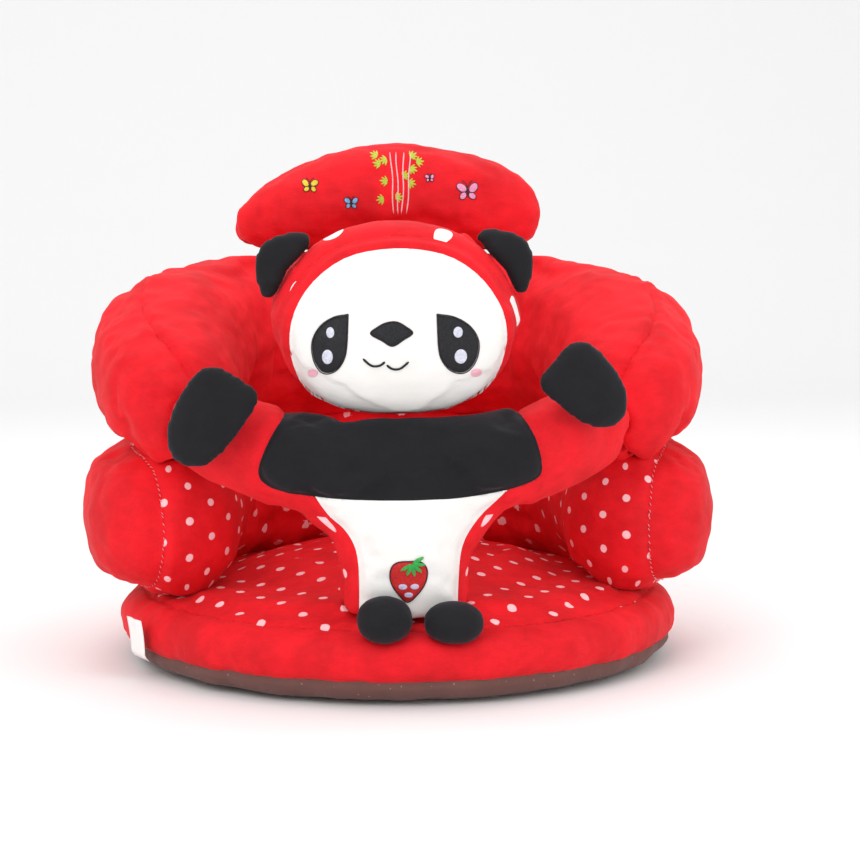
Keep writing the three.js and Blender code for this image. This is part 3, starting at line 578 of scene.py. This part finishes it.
def panels_of(obj, seams):
    """Cuts a cover into one object for each panel of the frame."""
    mesh = obj.data
    table = seams.distances(coordinates(mesh))
    bm = bmesh.new()
    bm.from_mesh(mesh)
    bm.verts.ensure_lookup_table()
    owner = bm.faces.layers.int.new("owner")
    for face in bm.faces:
        face[owner] = -1
    rows = {v: table[i] for i, v in enumerate(bm.verts)}
    count = len(seams.panels)
    for k in range(count):
        for v in bm.verts:
            if v not in rows:
                rows[v] = seams.distances([v.co])[0]
        field = {}
        for v, row in rows.items():
            others = min(row[j] for j in range(count) if j != k) if count > 1 else 1.0
            field[v] = row[k] - others
        cut_along(bm, field)
        for face in bm.faces:
            mean = sum(field[v] for v in face.verts) / len(face.verts)
            if face[owner] < 0 and mean < 0:
                face[owner] = k
    made = []
    for k, name in enumerate(seams.panels):
        part = bm.copy()
        layer = part.faces.layers.int["owner"]
        gone = [f for f in part.faces if f[layer] != k]
        bmesh.ops.delete(part, geom=gone, context="FACES")
        made.append(link_mesh(f"{name}_cloth", part))
    bm.free()
    return made


def stuffing_of(cover, filling, body):
    """The fibre filling, close under its cover."""
    inner = link(f"{filling}_fibre", cover.data.copy())
    relax = inner.modifiers.new("relax", "SMOOTH")
    relax.iterations = 3
    relax.factor = 0.5
    apply_modifiers(inner)
    set_coordinates(inner.data, coordinates(inner.data) - normals_of(inner.data) * STUFFING_GAP)
    shade_smooth(inner)
    dress(inner, "fibre_filling")
    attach(inner, body)
    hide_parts(filling)


def hem(obj, depth=3.6 * MM):
    """Turns a panel's edge in along the seam."""
    bm = bmesh.new()
    bm.from_mesh(obj.data)
    bm.normal_update()
    edges = [e for e in bm.edges if e.is_boundary]
    fresh = bmesh.ops.extrude_edge_only(bm, edges=edges)["geom"]
    for v in fresh:
        if isinstance(v, bmesh.types.BMVert):
            v.co -= v.normal * depth
    bm.to_mesh(obj.data)
    bm.free()


def shade_smooth(obj):
    obj.data.polygons.foreach_set("use_smooth", [True] * len(obj.data.polygons))


def cloth_map(obj, place):
    """Writes the map, in metres, that the dots are printed by."""
    layer = obj.data.uv_layers.new(name="cloth")
    points = coordinates(obj.data)
    flat = np.array([place(p) for p in points])
    loops = np.empty(len(obj.data.loops), dtype=int)
    obj.data.loops.foreach_get("vertex_index", loops)
    layer.data.foreach_set("uv", flat[loops].reshape(-1))


def hold_above(obj, floor):
    if floor is not None:
        points = coordinates(obj.data)
        points[:, 2] = np.maximum(points[:, 2], floor)
        set_coordinates(obj.data, points)


def grow(obj, amount):
    set_coordinates(obj.data, coordinates(obj.data) + normals_of(obj.data) * amount)


# The open edges of each panel, as chains of points.
rims = {}


def stuffed(
    filling, panels, body, voxel=VOXEL, cap=CAP, amount=2.5 * MM, folds=0.8 * MM,
    groove=GROOVE, floor=None, snug=0.0, claim=None,
):
    """The covers of one stuffed piece of the frame, each riding on its body."""
    seams = Seams(panels, filling, claim)
    cover = rounded_copy(filling, voxel)
    grow(cover, 0.6 * CLOTH)
    inflate(cover, seams, cap, amount)
    hold_above(cover, floor)
    keep_clear(cover, filling, snug)
    stuffing_of(cover, filling, body)
    finer = cover.modifiers.new("finer", "SUBSURF")
    finer.levels = 1
    apply_modifiers(cover)
    crease(cover, seams, folds, groove)
    hold_above(cover, floor)
    surface = Seams.tree(cover)
    pieces = {}
    for name, piece in zip(panels, panels_of(cover, seams)):
        pieces[name] = piece
        rims[name] = rim_of(piece)
        hem(piece)
        shade_smooth(piece)
        dress(piece, SLOT_OF[name])
        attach(piece, body)
        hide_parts(name)
    bpy.data.objects.remove(cover)
    return pieces, surface


def rim_of(obj):
    """The open edges of a panel, walked in order."""
    bm = bmesh.new()
    bm.from_mesh(obj.data)
    left = {e for e in bm.edges if e.is_boundary}
    chains = []
    while left:
        edge = next(e for e in bm.edges if e in left)
        left.discard(edge)
        chain = [edge.verts[0], edge.verts[1]]
        while True:
            onward = [e for e in chain[-1].link_edges if e in left]
            if not onward:
                break
            left.discard(onward[0])
            chain.append(onward[0].other_vert(chain[-1]))
        if len(chain) > 12:
            chains.append([(v.co.copy(), v.normal.copy()) for v in chain])
    bm.free()
    return chains


# ------------------------------------------------------------------ embroidery and other small work


def through(points, count, closed=True):
    """A smooth curve through points, as count places along it."""
    points = np.array(points, dtype=float)
    n = len(points)
    made = []
    for i in range(count):
        t = i * n / count if closed else i * (n - 1) / (count - 1)
        k = min(int(t), n - 1 if closed else n - 2)
        f = t - k
        pick = [(k - 1 + j) % n if closed else min(max(k - 1 + j, 0), n - 1) for j in range(4)]
        a, b, c, d = points[pick]
        made.append(
            0.5
            * (
                2 * b
                + (c - a) * f
                + (2 * a - 5 * b + 4 * c - d) * f**2
                + (3 * b - a - 3 * c + d) * f**3
            )
        )
    return made


def oval(x, z, half_width, half_height, turn=0.0, count=24):
    c, s = math.cos(turn), math.sin(turn)
    made = []
    for i in range(count):
        angle = 2 * math.pi * i / count
        dx, dz = half_width * math.cos(angle), half_height * math.sin(angle)
        made.append((x + dx * c - dz * s, z + dx * s + dz * c))
    return made


class Side:
    """A flat drawing board in front of a surface, from which points are pressed on to it."""

    def __init__(self, surface, origin=(0, -0.5, 0), across=(1, 0, 0), up=(0, 0, 1)):
        self.surface = surface
        self.origin = Vector(origin)
        self.across, self.up = Vector(across).normalized(), Vector(up).normalized()
        self.towards = self.up.cross(self.across).normalized()

    def press(self, a, b, rise=0.0):
        start = self.origin + self.across * a + self.up * b
        hit, normal, _index, _distance = self.surface.ray_cast(start, self.towards)
        if hit is None:
            hit, normal, _index, _distance = self.surface.find_nearest(start)
        if normal.dot(self.towards) > 0:
            normal = -normal
        return hit + normal * rise


# The rings of a patch, as shares of its outline; the last one is tucked under.
PATCH_RINGS = (0.25, 0.5, 0.72, 0.88, 0.96, 1.0, 1.02)


def applique(bm, side, outline, rise, layer=0.0):
    """Adds one flat, slightly crowned patch of cloth or thread to a mesh."""
    centre = np.mean(outline, axis=0)
    rows = []
    for share in PATCH_RINGS:
        lift = layer + (rise * (1 - share**6) ** 0.5 if share < 1 else -0.6 * MM)
        row = [centre + (np.array(p) - centre) * share for p in outline]
        rows.append([bm.verts.new(side.press(p[0], p[1], lift)) for p in row])
    top = bm.verts.new(side.press(centre[0], centre[1], layer + rise))
    count = len(outline)
    for i in range(count):
        j = (i + 1) % count
        bm.faces.new((top, rows[0][i], rows[0][j]))
        for near, far in zip(rows, rows[1:]):
            bm.faces.new((near[i], far[i], far[j], near[j]))


def thread(bm, points, radius, closed=False):
    """Adds a round thread along points."""
    sides = 6
    count = len(points)
    rings = []
    for i, point in enumerate(points):
        before = points[i - 1] if i or closed else points[0]
        after = points[(i + 1) % count] if i + 1 < count or closed else points[-1]
        run = (after - before).normalized()
        across = run.cross(Vector((0, 1, 0.2))).normalized()
        up = run.cross(across).normalized()
        thin = radius if closed or 0 < i < count - 1 else radius * 0.4
        ring = []
        for k in range(sides):
            angle = 2 * math.pi * k / sides
            ring.append(bm.verts.new(point + (across * math.cos(angle) + up * math.sin(angle)) * thin))
        rings.append(ring)
    pairs = list(zip(rings, rings[1:])) + ([(rings[-1], rings[0])] if closed else [])
    for a, b in pairs:
        for k in range(sides):
            m = (k + 1) % sides
            bm.faces.new((a[k], a[m], b[m], b[k]))
    if not closed:
        bm.faces.new(rings[0][::-1])
        bm.faces.new(rings[-1])


def made_from(bm, name, body, material, slot, replaces=()):
    bmesh.ops.recalc_face_normals(bm, faces=bm.faces)
    obj = link_mesh(name, bm)
    shade_smooth(obj)
    obj.data.materials.append(material)
    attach(obj, body)
    if replaces:
        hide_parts(*replaces)
    return obj


def fitted(shape, node, mirror=False):
    """A shape drawn in a unit square, placed on the front of a node's box."""
    low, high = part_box(node)
    made = []
    for a, b in shape:
        share = 1 - a if mirror else a
        made.append((low[0] + share * (high[0] - low[0]), low[2] + b * (high[2] - low[2])))
    return made[::-1] if mirror else made


def stitched_patch(node, outline, side, body, rise=PATCH_RISE, layer=0.0, edge=None, material=None):
    """An embroidered patch that stands for a node of the frame, with a corded edge if asked."""
    bm = bmesh.new()
    applique(bm, side, outline, rise, layer)
    slot = SLOT_OF[node]
    obj = made_from(bm, f"{node}_stitched", body, material or MATERIALS[slot], slot, (node,))
    if edge:
        rim = bmesh.new()
        pressed = [side.press(p[0], p[1], layer + 0.35 * MM) for p in outline]
        thread(rim, pressed, edge, closed=True)
        made_from(rim, f"{node}_edge", body, THREADS["outline"], slot)
    return obj


# ------------------------------------------------------------------ floor cushion

def base_floor(points):
    """The underside is flat on the floor round its rim and raised where the zip runs."""
    r = np.hypot(points[:, 0], points[:, 1])
    lift = ZIP_LIFT["height"] * np.clip((ZIP_LIFT["radius"] - r) / ZIP_LIFT["slope"], 0, 1)
    points[:, 2] = np.maximum(points[:, 2], FLOOR_GAP + lift)


def floor_cushion():
    panels = ["base_bottom_cover", "base_side_band", "seat_panel"]
    pieces = stuffed(
        "base_filling", panels, "seat", cap=5 * MM, amount=1.2 * MM, folds=0.8 * MM, floor=FLOOR_GAP
    )[0]
    bottom = pieces["base_bottom_cover"]
    points = coordinates(bottom.data)
    base_floor(points)
    set_coordinates(bottom.data, points)
    open_for_zip(bottom)
    cloth_map(pieces["seat_panel"], lambda p: (p[1], p[0] + 4 * MM))


def open_for_zip(bottom, below=9 * MM):
    """Cuts the slot that the two tapes of the zip lie in."""
    tapes = [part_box("zipper_tape_front"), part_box("zipper_tape_rear")]
    low = [min(t[0][i] for t in tapes) for i in range(2)]
    high = [max(t[1][i] for t in tapes) for i in range(2)]
    bm = bmesh.new()
    bm.from_mesh(bottom.data)
    for axis in range(2):
        for value in (low[axis], high[axis]):
            across = Vector((1, 0, 0)) if axis == 0 else Vector((0, 1, 0))
            near = [f for f in bm.faces if f.calc_center_median().z < below]
            geom = list({x for f in near for x in (*f.verts, *f.edges)}) + near
            bmesh.ops.bisect_plane(bm, geom=geom, plane_co=across * value, plane_no=across)
    inside = []
    for face in bm.faces:
        c = face.calc_center_median()
        if low[0] < c.x < high[0] and low[1] < c.y < high[1] and c.z < below:
            inside.append(face)
    bmesh.ops.delete(bm, geom=inside, context="FACES")
    bm.to_mesh(bottom.data)
    bm.free()


# ------------------------------------------------------------------ bolsters and headrest


# The middle line of the lower bolster seen from above, left front end to back, in mm.
LOWER_LINE = [(-152, -52), (-164, -10), (-156, 52), (-104, 118), (0, 147.5)]
TUBE = 50 * MM  # half of its width
PLAIN_ABOVE = 2.25 * DOT["pitch"]  # the cloth has no dots beyond this, where the bolsters meet


def wrapped(half, radius, height, count=160):
    """Unrolls the cloth on the inner side and round the ends of a U-shaped tube."""
    left = [(x * MM, y * MM) for x, y in half]
    right = [(-x, y) for x, y in left[:-1][::-1]]
    line = np.array(through(left + right, count, closed=False))
    run = np.gradient(line, axis=0)
    run /= np.linalg.norm(run, axis=1, keepdims=True)
    inwards = np.stack([run[:, 1], -run[:, 0]], axis=1)
    inner = line + inwards * radius
    steps = np.concatenate([[0], np.cumsum(np.linalg.norm(np.diff(inner, axis=0), axis=1))])

    def place(p):
        away = np.array(p[:2]) - line
        k = int(np.argmin(np.hypot(away[:, 0], away[:, 1])))
        aside, ahead = float(away[k] @ inwards[k]), float(away[k] @ run[k])
        u = steps[k]
        if k in (0, count - 1):
            u += radius * math.atan2(ahead, aside)
        flat = math.hypot(aside, ahead)
        return u, min(radius * math.atan2(p[2] - height, flat), PLAIN_ABOVE)

    return place


def stitches(name, rims, keep, material, slot, body, length=2.4 * MM, step=2.9 * MM):
    """Small slanted stitches along the seams that keep() picks out."""
    bm = bmesh.new()
    for chain in rims:
        travelled = 0.0
        for (a, normal), (b, _normal) in zip(chain, chain[1:]):
            travelled += (b - a).length
            if travelled < step or not keep(a):
                continue
            travelled = 0.0
            run = (b - a).normalized()
            slant = (run + 0.55 * normal.cross(run)).normalized() * length / 2
            middle = a + normal * 0.5 * MM
            line = [middle - slant, middle + normal * 0.35 * MM, middle + slant]
            thread(bm, line, 0.34 * MM)
    made_from(bm, name, body, material, slot)


def lower_bolster():
    panels = ["lower_bolster_inner_panel", "lower_bolster_outer_panel"]
    pieces = stuffed(
        "lower_bolster_filling", panels, "seat", folds=0.9 * MM, groove=0.9 * MM, snug=SNUG
    )[0]
    low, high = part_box("lower_bolster_filling")
    place = wrapped(LOWER_LINE, TUBE, (low[2] + high[2]) / 2)
    cloth_map(pieces["lower_bolster_inner_panel"], place)
    front = low[1] + 70 * MM
    rim = rims["lower_bolster_outer_panel"]
    stitches("lower_bolster_stitches", rim, lambda p: p.y < front, THREADS["seam"], "red_plush", "seat")


def upper_bolster():
    panels = ["upper_bolster_inner_panel", "upper_bolster_outer_panel"]
    stuffed("upper_bolster_filling", panels, "seat", folds=1.2 * MM, groove=2.8 * MM, snug=SNUG)


def leaf(x, z, turn, length=7 * MM):
    """A lens-shaped leaf that grows from a place."""
    c, s = math.cos(turn), math.sin(turn)
    shape = [(0, 0), (0.3, 0.13), (0.7, 0.12), (1, 0), (0.7, -0.12), (0.3, -0.13)]
    return [
        (x + length * (a * c - b * s), z + length * (a * s + b * c))
        for a, b in through(shape, 12)
    ]


# Where leaves spray from the bamboo: share of the embroidery's width and height, and its spread.
SPRAYS = [
    (0.10, 0.93, 2.6), (0.30, 0.88, 3.4), (0.16, 0.80, 2.9), (0.80, 0.92, 0.6),
    (0.92, 0.84, 0.1), (0.78, 0.74, -0.4), (0.30, 0.52, 3.0), (0.62, 0.60, 0.5),
    (0.74, 0.50, -0.2), (0.22, 0.24, 3.3), (0.46, 0.26, 0.2),
]


# The four stems of the bamboo: where each ends at the top and starts at the bottom.
STEMS = ((0.38, 0.42), (0.50, 0.52), (0.66, 0.60), (0.80, 0.70))


def bamboo(side):
    """Four wavy stems with sprays of small leaves."""
    low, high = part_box("bamboo_embroidery")
    wide, tall = high[0] - low[0], high[2] - low[2]
    bm = bmesh.new()
    for top, bottom in STEMS:
        line = []
        for i in range(16):
            t = i / 15
            sway = 0.012 * wide * math.sin(9 * t + top * 7)
            x = low[0] + wide * (bottom + (top - bottom) * t) + sway
            line.append(side.press(x, low[2] + tall * t, 0.25 * MM))
        thread(bm, line, 0.5 * MM)
    made_from(bm, "bamboo_stems", "headrest", THREADS["stem"], "green_embroidery")
    bm = bmesh.new()
    for a, b, turn in SPRAYS:
        for k in range(5):
            spread = turn + (k - 2) * 0.5
            size = (6.5 - 0.7 * abs(k - 2)) * MM
            applique(bm, side, leaf(low[0] + a * wide, low[2] + b * tall, spread, size), 0.5 * MM)
    node = "bamboo_embroidery"
    made_from(bm, "bamboo_leaves", "headrest", THREADS["leaf"], "green_embroidery", (node,))


FEELER = ((0.0, 0.4), (0.2, 0.8), (0.5, 1.0))  # in halves of the butterfly's width


def butterfly(node, side, turn):
    """Four wings with a dark corded edge, a body and two feelers."""
    low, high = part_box(node)
    x, z = (low[0] + high[0]) / 2, (low[2] + high[2]) / 2
    half = (high[0] - low[0]) / 2
    wings = []
    for s in (-1, 1):
        upper = oval(x + s * 0.52 * half, z + 0.34 * half, 0.50 * half, 0.34 * half, turn + s * 0.75)
        lower = oval(x + s * 0.40 * half, z - 0.36 * half, 0.36 * half, 0.27 * half, turn - s * 0.8)
        wings += [upper, lower]
    bm, rim = bmesh.new(), bmesh.new()
    for wing in wings:
        applique(bm, side, wing, 0.6 * MM)
        thread(rim, [side.press(p[0], p[1], 0.3 * MM) for p in wing], 0.32 * MM, closed=True)
    applique(rim, side, oval(x, z, 0.07 * half, 0.5 * half, turn), 0.9 * MM, 0.2 * MM)
    for s in (-1, 1):
        feeler = [(x + s * a * half, z + b * half) for a, b in FEELER]
        smooth = through(feeler, 8, closed=False)
        thread(rim, [side.press(p[0], p[1], 0.2 * MM) for p in smooth], 0.25 * MM)
    slot = SLOT_OF[node]
    made_from(bm, f"{node}_wings", "headrest", MATERIALS[slot], slot, (node,))
    made_from(rim, f"{node}_outline", "headrest", THREADS["outline"], slot)


def headrest():
    panels = ["headrest_front_panel", "headrest_back_panel"]
    _pieces, surface = stuffed("headrest_filling", panels, "headrest", folds=0.8 * MM)
    side = Side(surface)
    bamboo(side)
    butterfly("butterfly_yellow", side, -0.2)
    butterfly("butterfly_blue", side, 0.1)
    butterfly("butterfly_pink", side, 0.15)
    butterfly("butterfly_small", side, 0.5)


# ------------------------------------------------------------------ panda

POST = (-6 * MM, -146 * MM)  # the middle of the panda's post, seen from above
POST_RADIUS = 42 * MM


def round_the_post(p):
    """Unrolls the cloth that runs round the post and flares out under the sleeves."""
    aside, ahead = p[0] - POST[0], p[1] - POST[1]
    turn = math.atan2(ahead, abs(aside))
    flare = 0.8 * max(0.0, abs(aside) - POST_RADIUS)
    return POST_RADIUS * turn, p[2] - flare


# The strawberry in a unit square, and its seeds from the middle of its foot.
BERRY = [
    *((0.48, 0), (0.74, 0.18), (0.96, 0.48), (1, 0.78), (0.84, 0.97)),
    *((0.5, 1), (0.16, 0.97), (0, 0.8), (0.02, 0.48), (0.24, 0.18)),
]
SEEDS = ((-0.16, 0.40), (0.16, 0.40), (0.0, 0.20))


def over_the_bar(p):
    """The chest cloth is drawn over the top of the bar, under the chin."""
    inside = (70 * MM - abs(p.x - POST[0])) / (10 * MM)
    high = (p.z - 158 * MM) / (8 * MM)
    return 24 * MM * min(max(inside, 0), 1) * min(max(high, 0), 1)


def body():
    panels = [
        "chest_panel",
        "belly_panel",
        "body_back_panel",
        "sleeve_left",
        "sleeve_right",
        "post_gusset_left",
        "post_gusset_right",
    ]
    pieces, surface = stuffed(
        "body_filling",
        panels,
        "seat",
        voxel=3.5 * MM,
        cap=4 * MM,
        amount=1.5 * MM,
        folds=0.6 * MM,
        groove=1.3 * MM,
        claim=over_the_bar,
    )
    for name in ("post_gusset_left", "post_gusset_right"):
        cloth_map(pieces[name], round_the_post)
    cloth_map(pieces["body_back_panel"], lambda p: (p[0], p[2] + p[1]))
    strawberry(Side(surface))


def strawberry(side):
    """The berry on the belly, with its seeds and its crown of leaves."""
    outline = through(fitted(BERRY, "strawberry_patch"), 40)
    stitched_patch("strawberry_patch", outline, side, "seat", edge=0.4 * MM)
    low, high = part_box("strawberry_patch")
    middle, wide = (low[0] + high[0]) / 2, high[0] - low[0]
    seeds = bmesh.new()
    for a, b in SEEDS:
        spot = oval(middle + a * wide, low[2] + b * (high[2] - low[2]), 0.12 * wide, 0.075 * wide)
        applique(seeds, side, spot, 0.6 * MM, PATCH_RISE)
    made_from(seeds, "strawberry_seeds", "seat", THREADS["seed"], "strawberry_embroidery")
    crown = bmesh.new()
    for k in range(6):
        turn = math.radians(-150 + 36 * k)
        grown = leaf(middle + 0.08 * wide, high[2] - 1.5 * MM, turn, 8.5 * MM)
        applique(crown, side, grown, 0.6 * MM, PATCH_RISE)
    slot = "green_embroidery"
    made_from(crown, "strawberry_crown", "seat", MATERIALS[slot], slot, ("strawberry_leaf",))


# Shapes in a unit square: the right eye, the nose and the right half of the mouth.
EYE = [
    (0.0, 1.0), (0.06, 0.997), (0.40, 0.955), (0.74, 0.82), (0.95, 0.62),
    (1.0, 0.42), (0.93, 0.2), (0.76, 0.04), (0.55, 0.0), (0.30, 0.07),
    (0.10, 0.26), (0.03, 0.50), (0.0, 0.94),
]
NOSE = [
    (0.0, 0.52), (0.18, 0.80), (0.38, 0.97), (0.62, 1.0), (0.84, 0.80),
    (1.0, 0.54), (0.78, 0.26), (0.52, 0.0), (0.28, 0.22),
]
SMILE = [(0.0, 0.50), (0.25, 0.06), (0.62, 0.08), (1.0, 0.85)]


def oval_of(node):
    """The oval that fills the front of a node's box."""
    low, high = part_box(node)
    x, z = (low[0] + high[0]) / 2, (low[2] + high[2]) / 2
    return oval(x, z, (high[0] - low[0]) / 2, (high[2] - low[2]) / 2)


def face(side):
    """Eyes with highlights, cheeks, mouth and nose, stitched on the face panel."""
    for name, mirror in (("left", True), ("right", False)):
        outline = through(fitted(EYE, f"eye_{name}", mirror), 48)
        stitched_patch(f"eye_{name}", outline, side, "head", 0.9 * MM, edge=0.35 * MM)
        for level in ("upper", "lower"):
            node = f"eye_highlight_{level}_{name}"
            stitched_patch(node, oval_of(node), side, "head", 0.6 * MM, layer=0.9 * MM)
        node = f"cheek_{name}"
        stitched_patch(node, oval_of(node), side, "head", 0.4 * MM)
        smile = through(fitted(SMILE, f"mouth_{name}", mirror), 14, closed=False)
        bm = bmesh.new()
        thread(bm, [side.press(p[0], p[1], 0.3 * MM) for p in smile], 0.75 * MM)
        node = f"mouth_{name}"
        slot = "black_embroidery"
        made_from(bm, f"{node}_stitched", "head", MATERIALS[slot], slot, (node,))
    stitched_patch("nose", through(fitted(NOSE, "nose"), 40), side, "head", 1.0 * MM, edge=0.35 * MM)


# Big pale spots of the hood: place from the middle of the head and half sizes in mm, and a turn.
HOOD_SPOTS = [
    ((28.7, -19, 52.4), 9.0, 5.5, 0.35),
    ((-67.3, -23, 15.5), 5.0, 9.0, 0.25),
    ((76.7, -14.5, 3.7), 5.5, 10.0, -0.15),
    ((-40, -8, 52), 8.0, 7.0, 0.0),
    ((45, 28, 40), 8.0, 7.0, 0.3),
    ((-22, 38, 44), 8.0, 8.0, 0.0),
    ((14, 46, 8), 8.5, 7.0, 0.4),
    ((-52, 38, -4), 7.0, 8.5, 0.0),
    ((56, 32, -16), 7.0, 8.0, 0.0),
    ((-8, 42, -34), 8.0, 7.0, 0.2),
]


def spot_field(point, middle, spot):
    """How far a point is outside one of the hood's pale spots, in metres; negative inside."""
    place, wide, tall, turn = spot
    out = Vector(place).normalized()
    across = Vector((0, 0, 1)).cross(out).normalized()
    up = out.cross(across).normalized()
    away = point - middle
    if away.dot(out) < 0:
        return 1.0
    reach = away - out * away.dot(out)
    a, b = reach.dot(across), reach.dot(up)
    c, s = math.cos(turn), math.sin(turn)
    a, b = a * c + b * s, b * c - a * s
    return (math.hypot(a / wide, b / tall) - MM) * min(wide, tall)


def hood_spots(pieces):
    """Cuts the pale spots out of the hood's panels and gives them a white cloth."""
    low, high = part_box("head_filling")
    middle = (Vector(low) + Vector(high)) / 2
    spots = bmesh.new()
    for name in ("hood_front", "hood_back"):
        obj = pieces[name]
        bm = bmesh.new()
        bm.from_mesh(obj.data)
        mark = bm.faces.layers.int.new("pale")
        for spot in HOOD_SPOTS:
            field = {v: spot_field(v.co, middle, spot) for v in bm.verts}
            cut_along(bm, field)
            for face in bm.faces:
                if sum(field[v] for v in face.verts) < 0:
                    face[mark] = 1
        rest = bm.copy()
        for mesh, wanted in ((bm, 1), (rest, 0)):
            layer = mesh.faces.layers.int["pale"]
            gone = [f for f in mesh.faces if f[layer] != wanted]
            bmesh.ops.delete(mesh, geom=gone, context="FACES")
        data = bpy.data.meshes.new("spot")
        bm.to_mesh(data)
        spots.from_mesh(data)
        bpy.data.meshes.remove(data)
        bm.free()
        rest.to_mesh(obj.data)
        rest.free()
    obj = link_mesh("hood_spots", spots)
    shade_smooth(obj)
    dress(obj, "white_plush")
    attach(obj, "head")


def head():
    panels = ["face_panel", "hood_brim", "hood_front", "hood_back"]
    pieces, surface = stuffed(
        "head_filling",
        panels,
        "head",
        voxel=3.2 * MM,
        cap=1.6 * MM,
        amount=1.5 * MM,
        folds=0.3 * MM,
        groove=1.6 * MM,
    )
    face(Side(surface))
    hood_spots(pieces)


def limbs():
    for part in ("ear", "paw", "foot"):
        for side in ("left", "right"):
            name = f"{part}_{side}"
            stuffed(
                f"{name}_filling",
                [f"{name}_cover"],
                name,
                voxel=SMALL_VOXEL,
                cap=SMALL_CAP,
                amount=1.4 * MM,
                folds=0.5 * MM,
            )


# ------------------------------------------------------------------ label, zip and fillings


def care_label():
    """A blank satin label, curling a little away from the band."""
    low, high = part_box("care_label")
    joint = next(j for j in frame["joints"] if j["child"] == "care_label")
    root = Vector(joint["pos_m"])
    run = Vector(joint["axis"]).normalized()
    out = run.cross(Vector((0, 0, 1))).normalized()
    tall = high[2] - low[2]
    half, tuck = 11 * MM, 3 * MM
    bm = bmesh.new()
    grid = []
    for i in range(13):
        row = []
        for k in range(13):
            a, b = -half + 2 * half * i / 12, (tall + tuck) * k / 12 - tuck
            curl = 2.5 * MM * (b / tall) ** 2 + 0.5 * MM * math.sin(5 * a / half + 1) * b / tall
            aside = 0.4 * MM + curl if b > 0 else b
            row.append(bm.verts.new(root + run * a + Vector((0, 0, 1)) * b * 0.985 + out * aside))
        grid.append(row)
    for i in range(12):
        for k in range(12):
            bm.faces.new((grid[i][k], grid[i + 1][k], grid[i + 1][k + 1], grid[i][k + 1]))
    node, slot = "care_label", "label_satin"
    label = made_from(bm, "care_label_satin", node, MATERIALS[slot], slot, (node,))
    thick = label.modifiers.new("thickness", "SOLIDIFY")
    thick.thickness = 0.4 * MM


def carried_over():
    """Materials for the frame's own nodes. Only the zip's stay in view."""
    for name, obj in frame["nodes"].items():
        slot = SLOT_OF[name]
        obj.data.materials.clear()
        obj.data.materials.append(MATERIALS[slot])


# ------------------------------------------------------------------ studio


def area_light(name, place, size, energy, aim=(0, 0, 0.15)):
    data = bpy.data.lights.new(name, "AREA")
    data.size = size
    data.energy = energy
    obj = bpy.data.objects.new(name, data)
    obj.location = place
    obj.rotation_euler = (Vector(aim) - Vector(place)).to_track_quat("-Z", "Y").to_euler()
    bpy.context.scene.collection.objects.link(obj)


def studio():
    """A pale floor that curves up behind, three soft lights and a white world."""
    bm = bmesh.new()
    profile = [(-3.0, 0.0), (2.2, 0.0)]
    profile += [(2.2 + math.sin(a) * 0.8, 0.8 - math.cos(a) * 0.8) for a in np.linspace(0.2, 1.5, 8)]
    profile += [(3.0, 4.0)]
    rows = [[bm.verts.new((x, y, z)) for y, z in profile] for x in (-5.0, 5.0)]
    for k in range(len(profile) - 1):
        bm.faces.new((rows[0][k], rows[1][k], rows[1][k + 1], rows[0][k + 1]))
    floor = link_mesh("floor", bm)
    shade_smooth(floor)
    n = Nodes("floor")
    floor.data.materials.append(n.finish((0.90, 0.90, 0.90), 0.9))
    area_light("key", (-0.9, -1.7, 1.7), 1.4, 17)
    area_light("fill", (1.5, -1.3, 0.9), 1.6, 6)
    area_light("top", (0.1, 0.3, 2.0), 1.8, 13)
    world = bpy.data.worlds.new("studio")
    world.use_nodes = True
    world.node_tree.nodes["Background"].inputs["Color"].default_value = (1, 1, 1, 1)
    world.node_tree.nodes["Background"].inputs["Strength"].default_value = 0.9
    bpy.context.scene.world = world
    bpy.context.scene.view_settings.view_transform = "Standard"


def camera():
    """Low and in front, turned a little to the left."""
    data = bpy.data.cameras.new("camera")
    data.lens = 80.2
    data.sensor_width = 36
    obj = bpy.data.objects.new("camera", data)
    elevation, yaw, distance = math.radians(5.5), math.radians(-5.0), 1.368
    aim = Vector((0.0227, 0.0, 0.157))
    back = Vector(
        (
            math.sin(yaw) * math.cos(elevation),
            -math.cos(yaw) * math.cos(elevation),
            math.sin(elevation),
        )
    )
    obj.location = aim + back * distance
    obj.rotation_euler = (-back).to_track_quat("-Z", "Y").to_euler()
    bpy.context.scene.collection.objects.link(obj)
    bpy.context.scene.camera = obj


camera()
studio()
carried_over()
floor_cushion()
lower_bolster()
upper_bolster()
headrest()
body()
head()
limbs()
care_label()
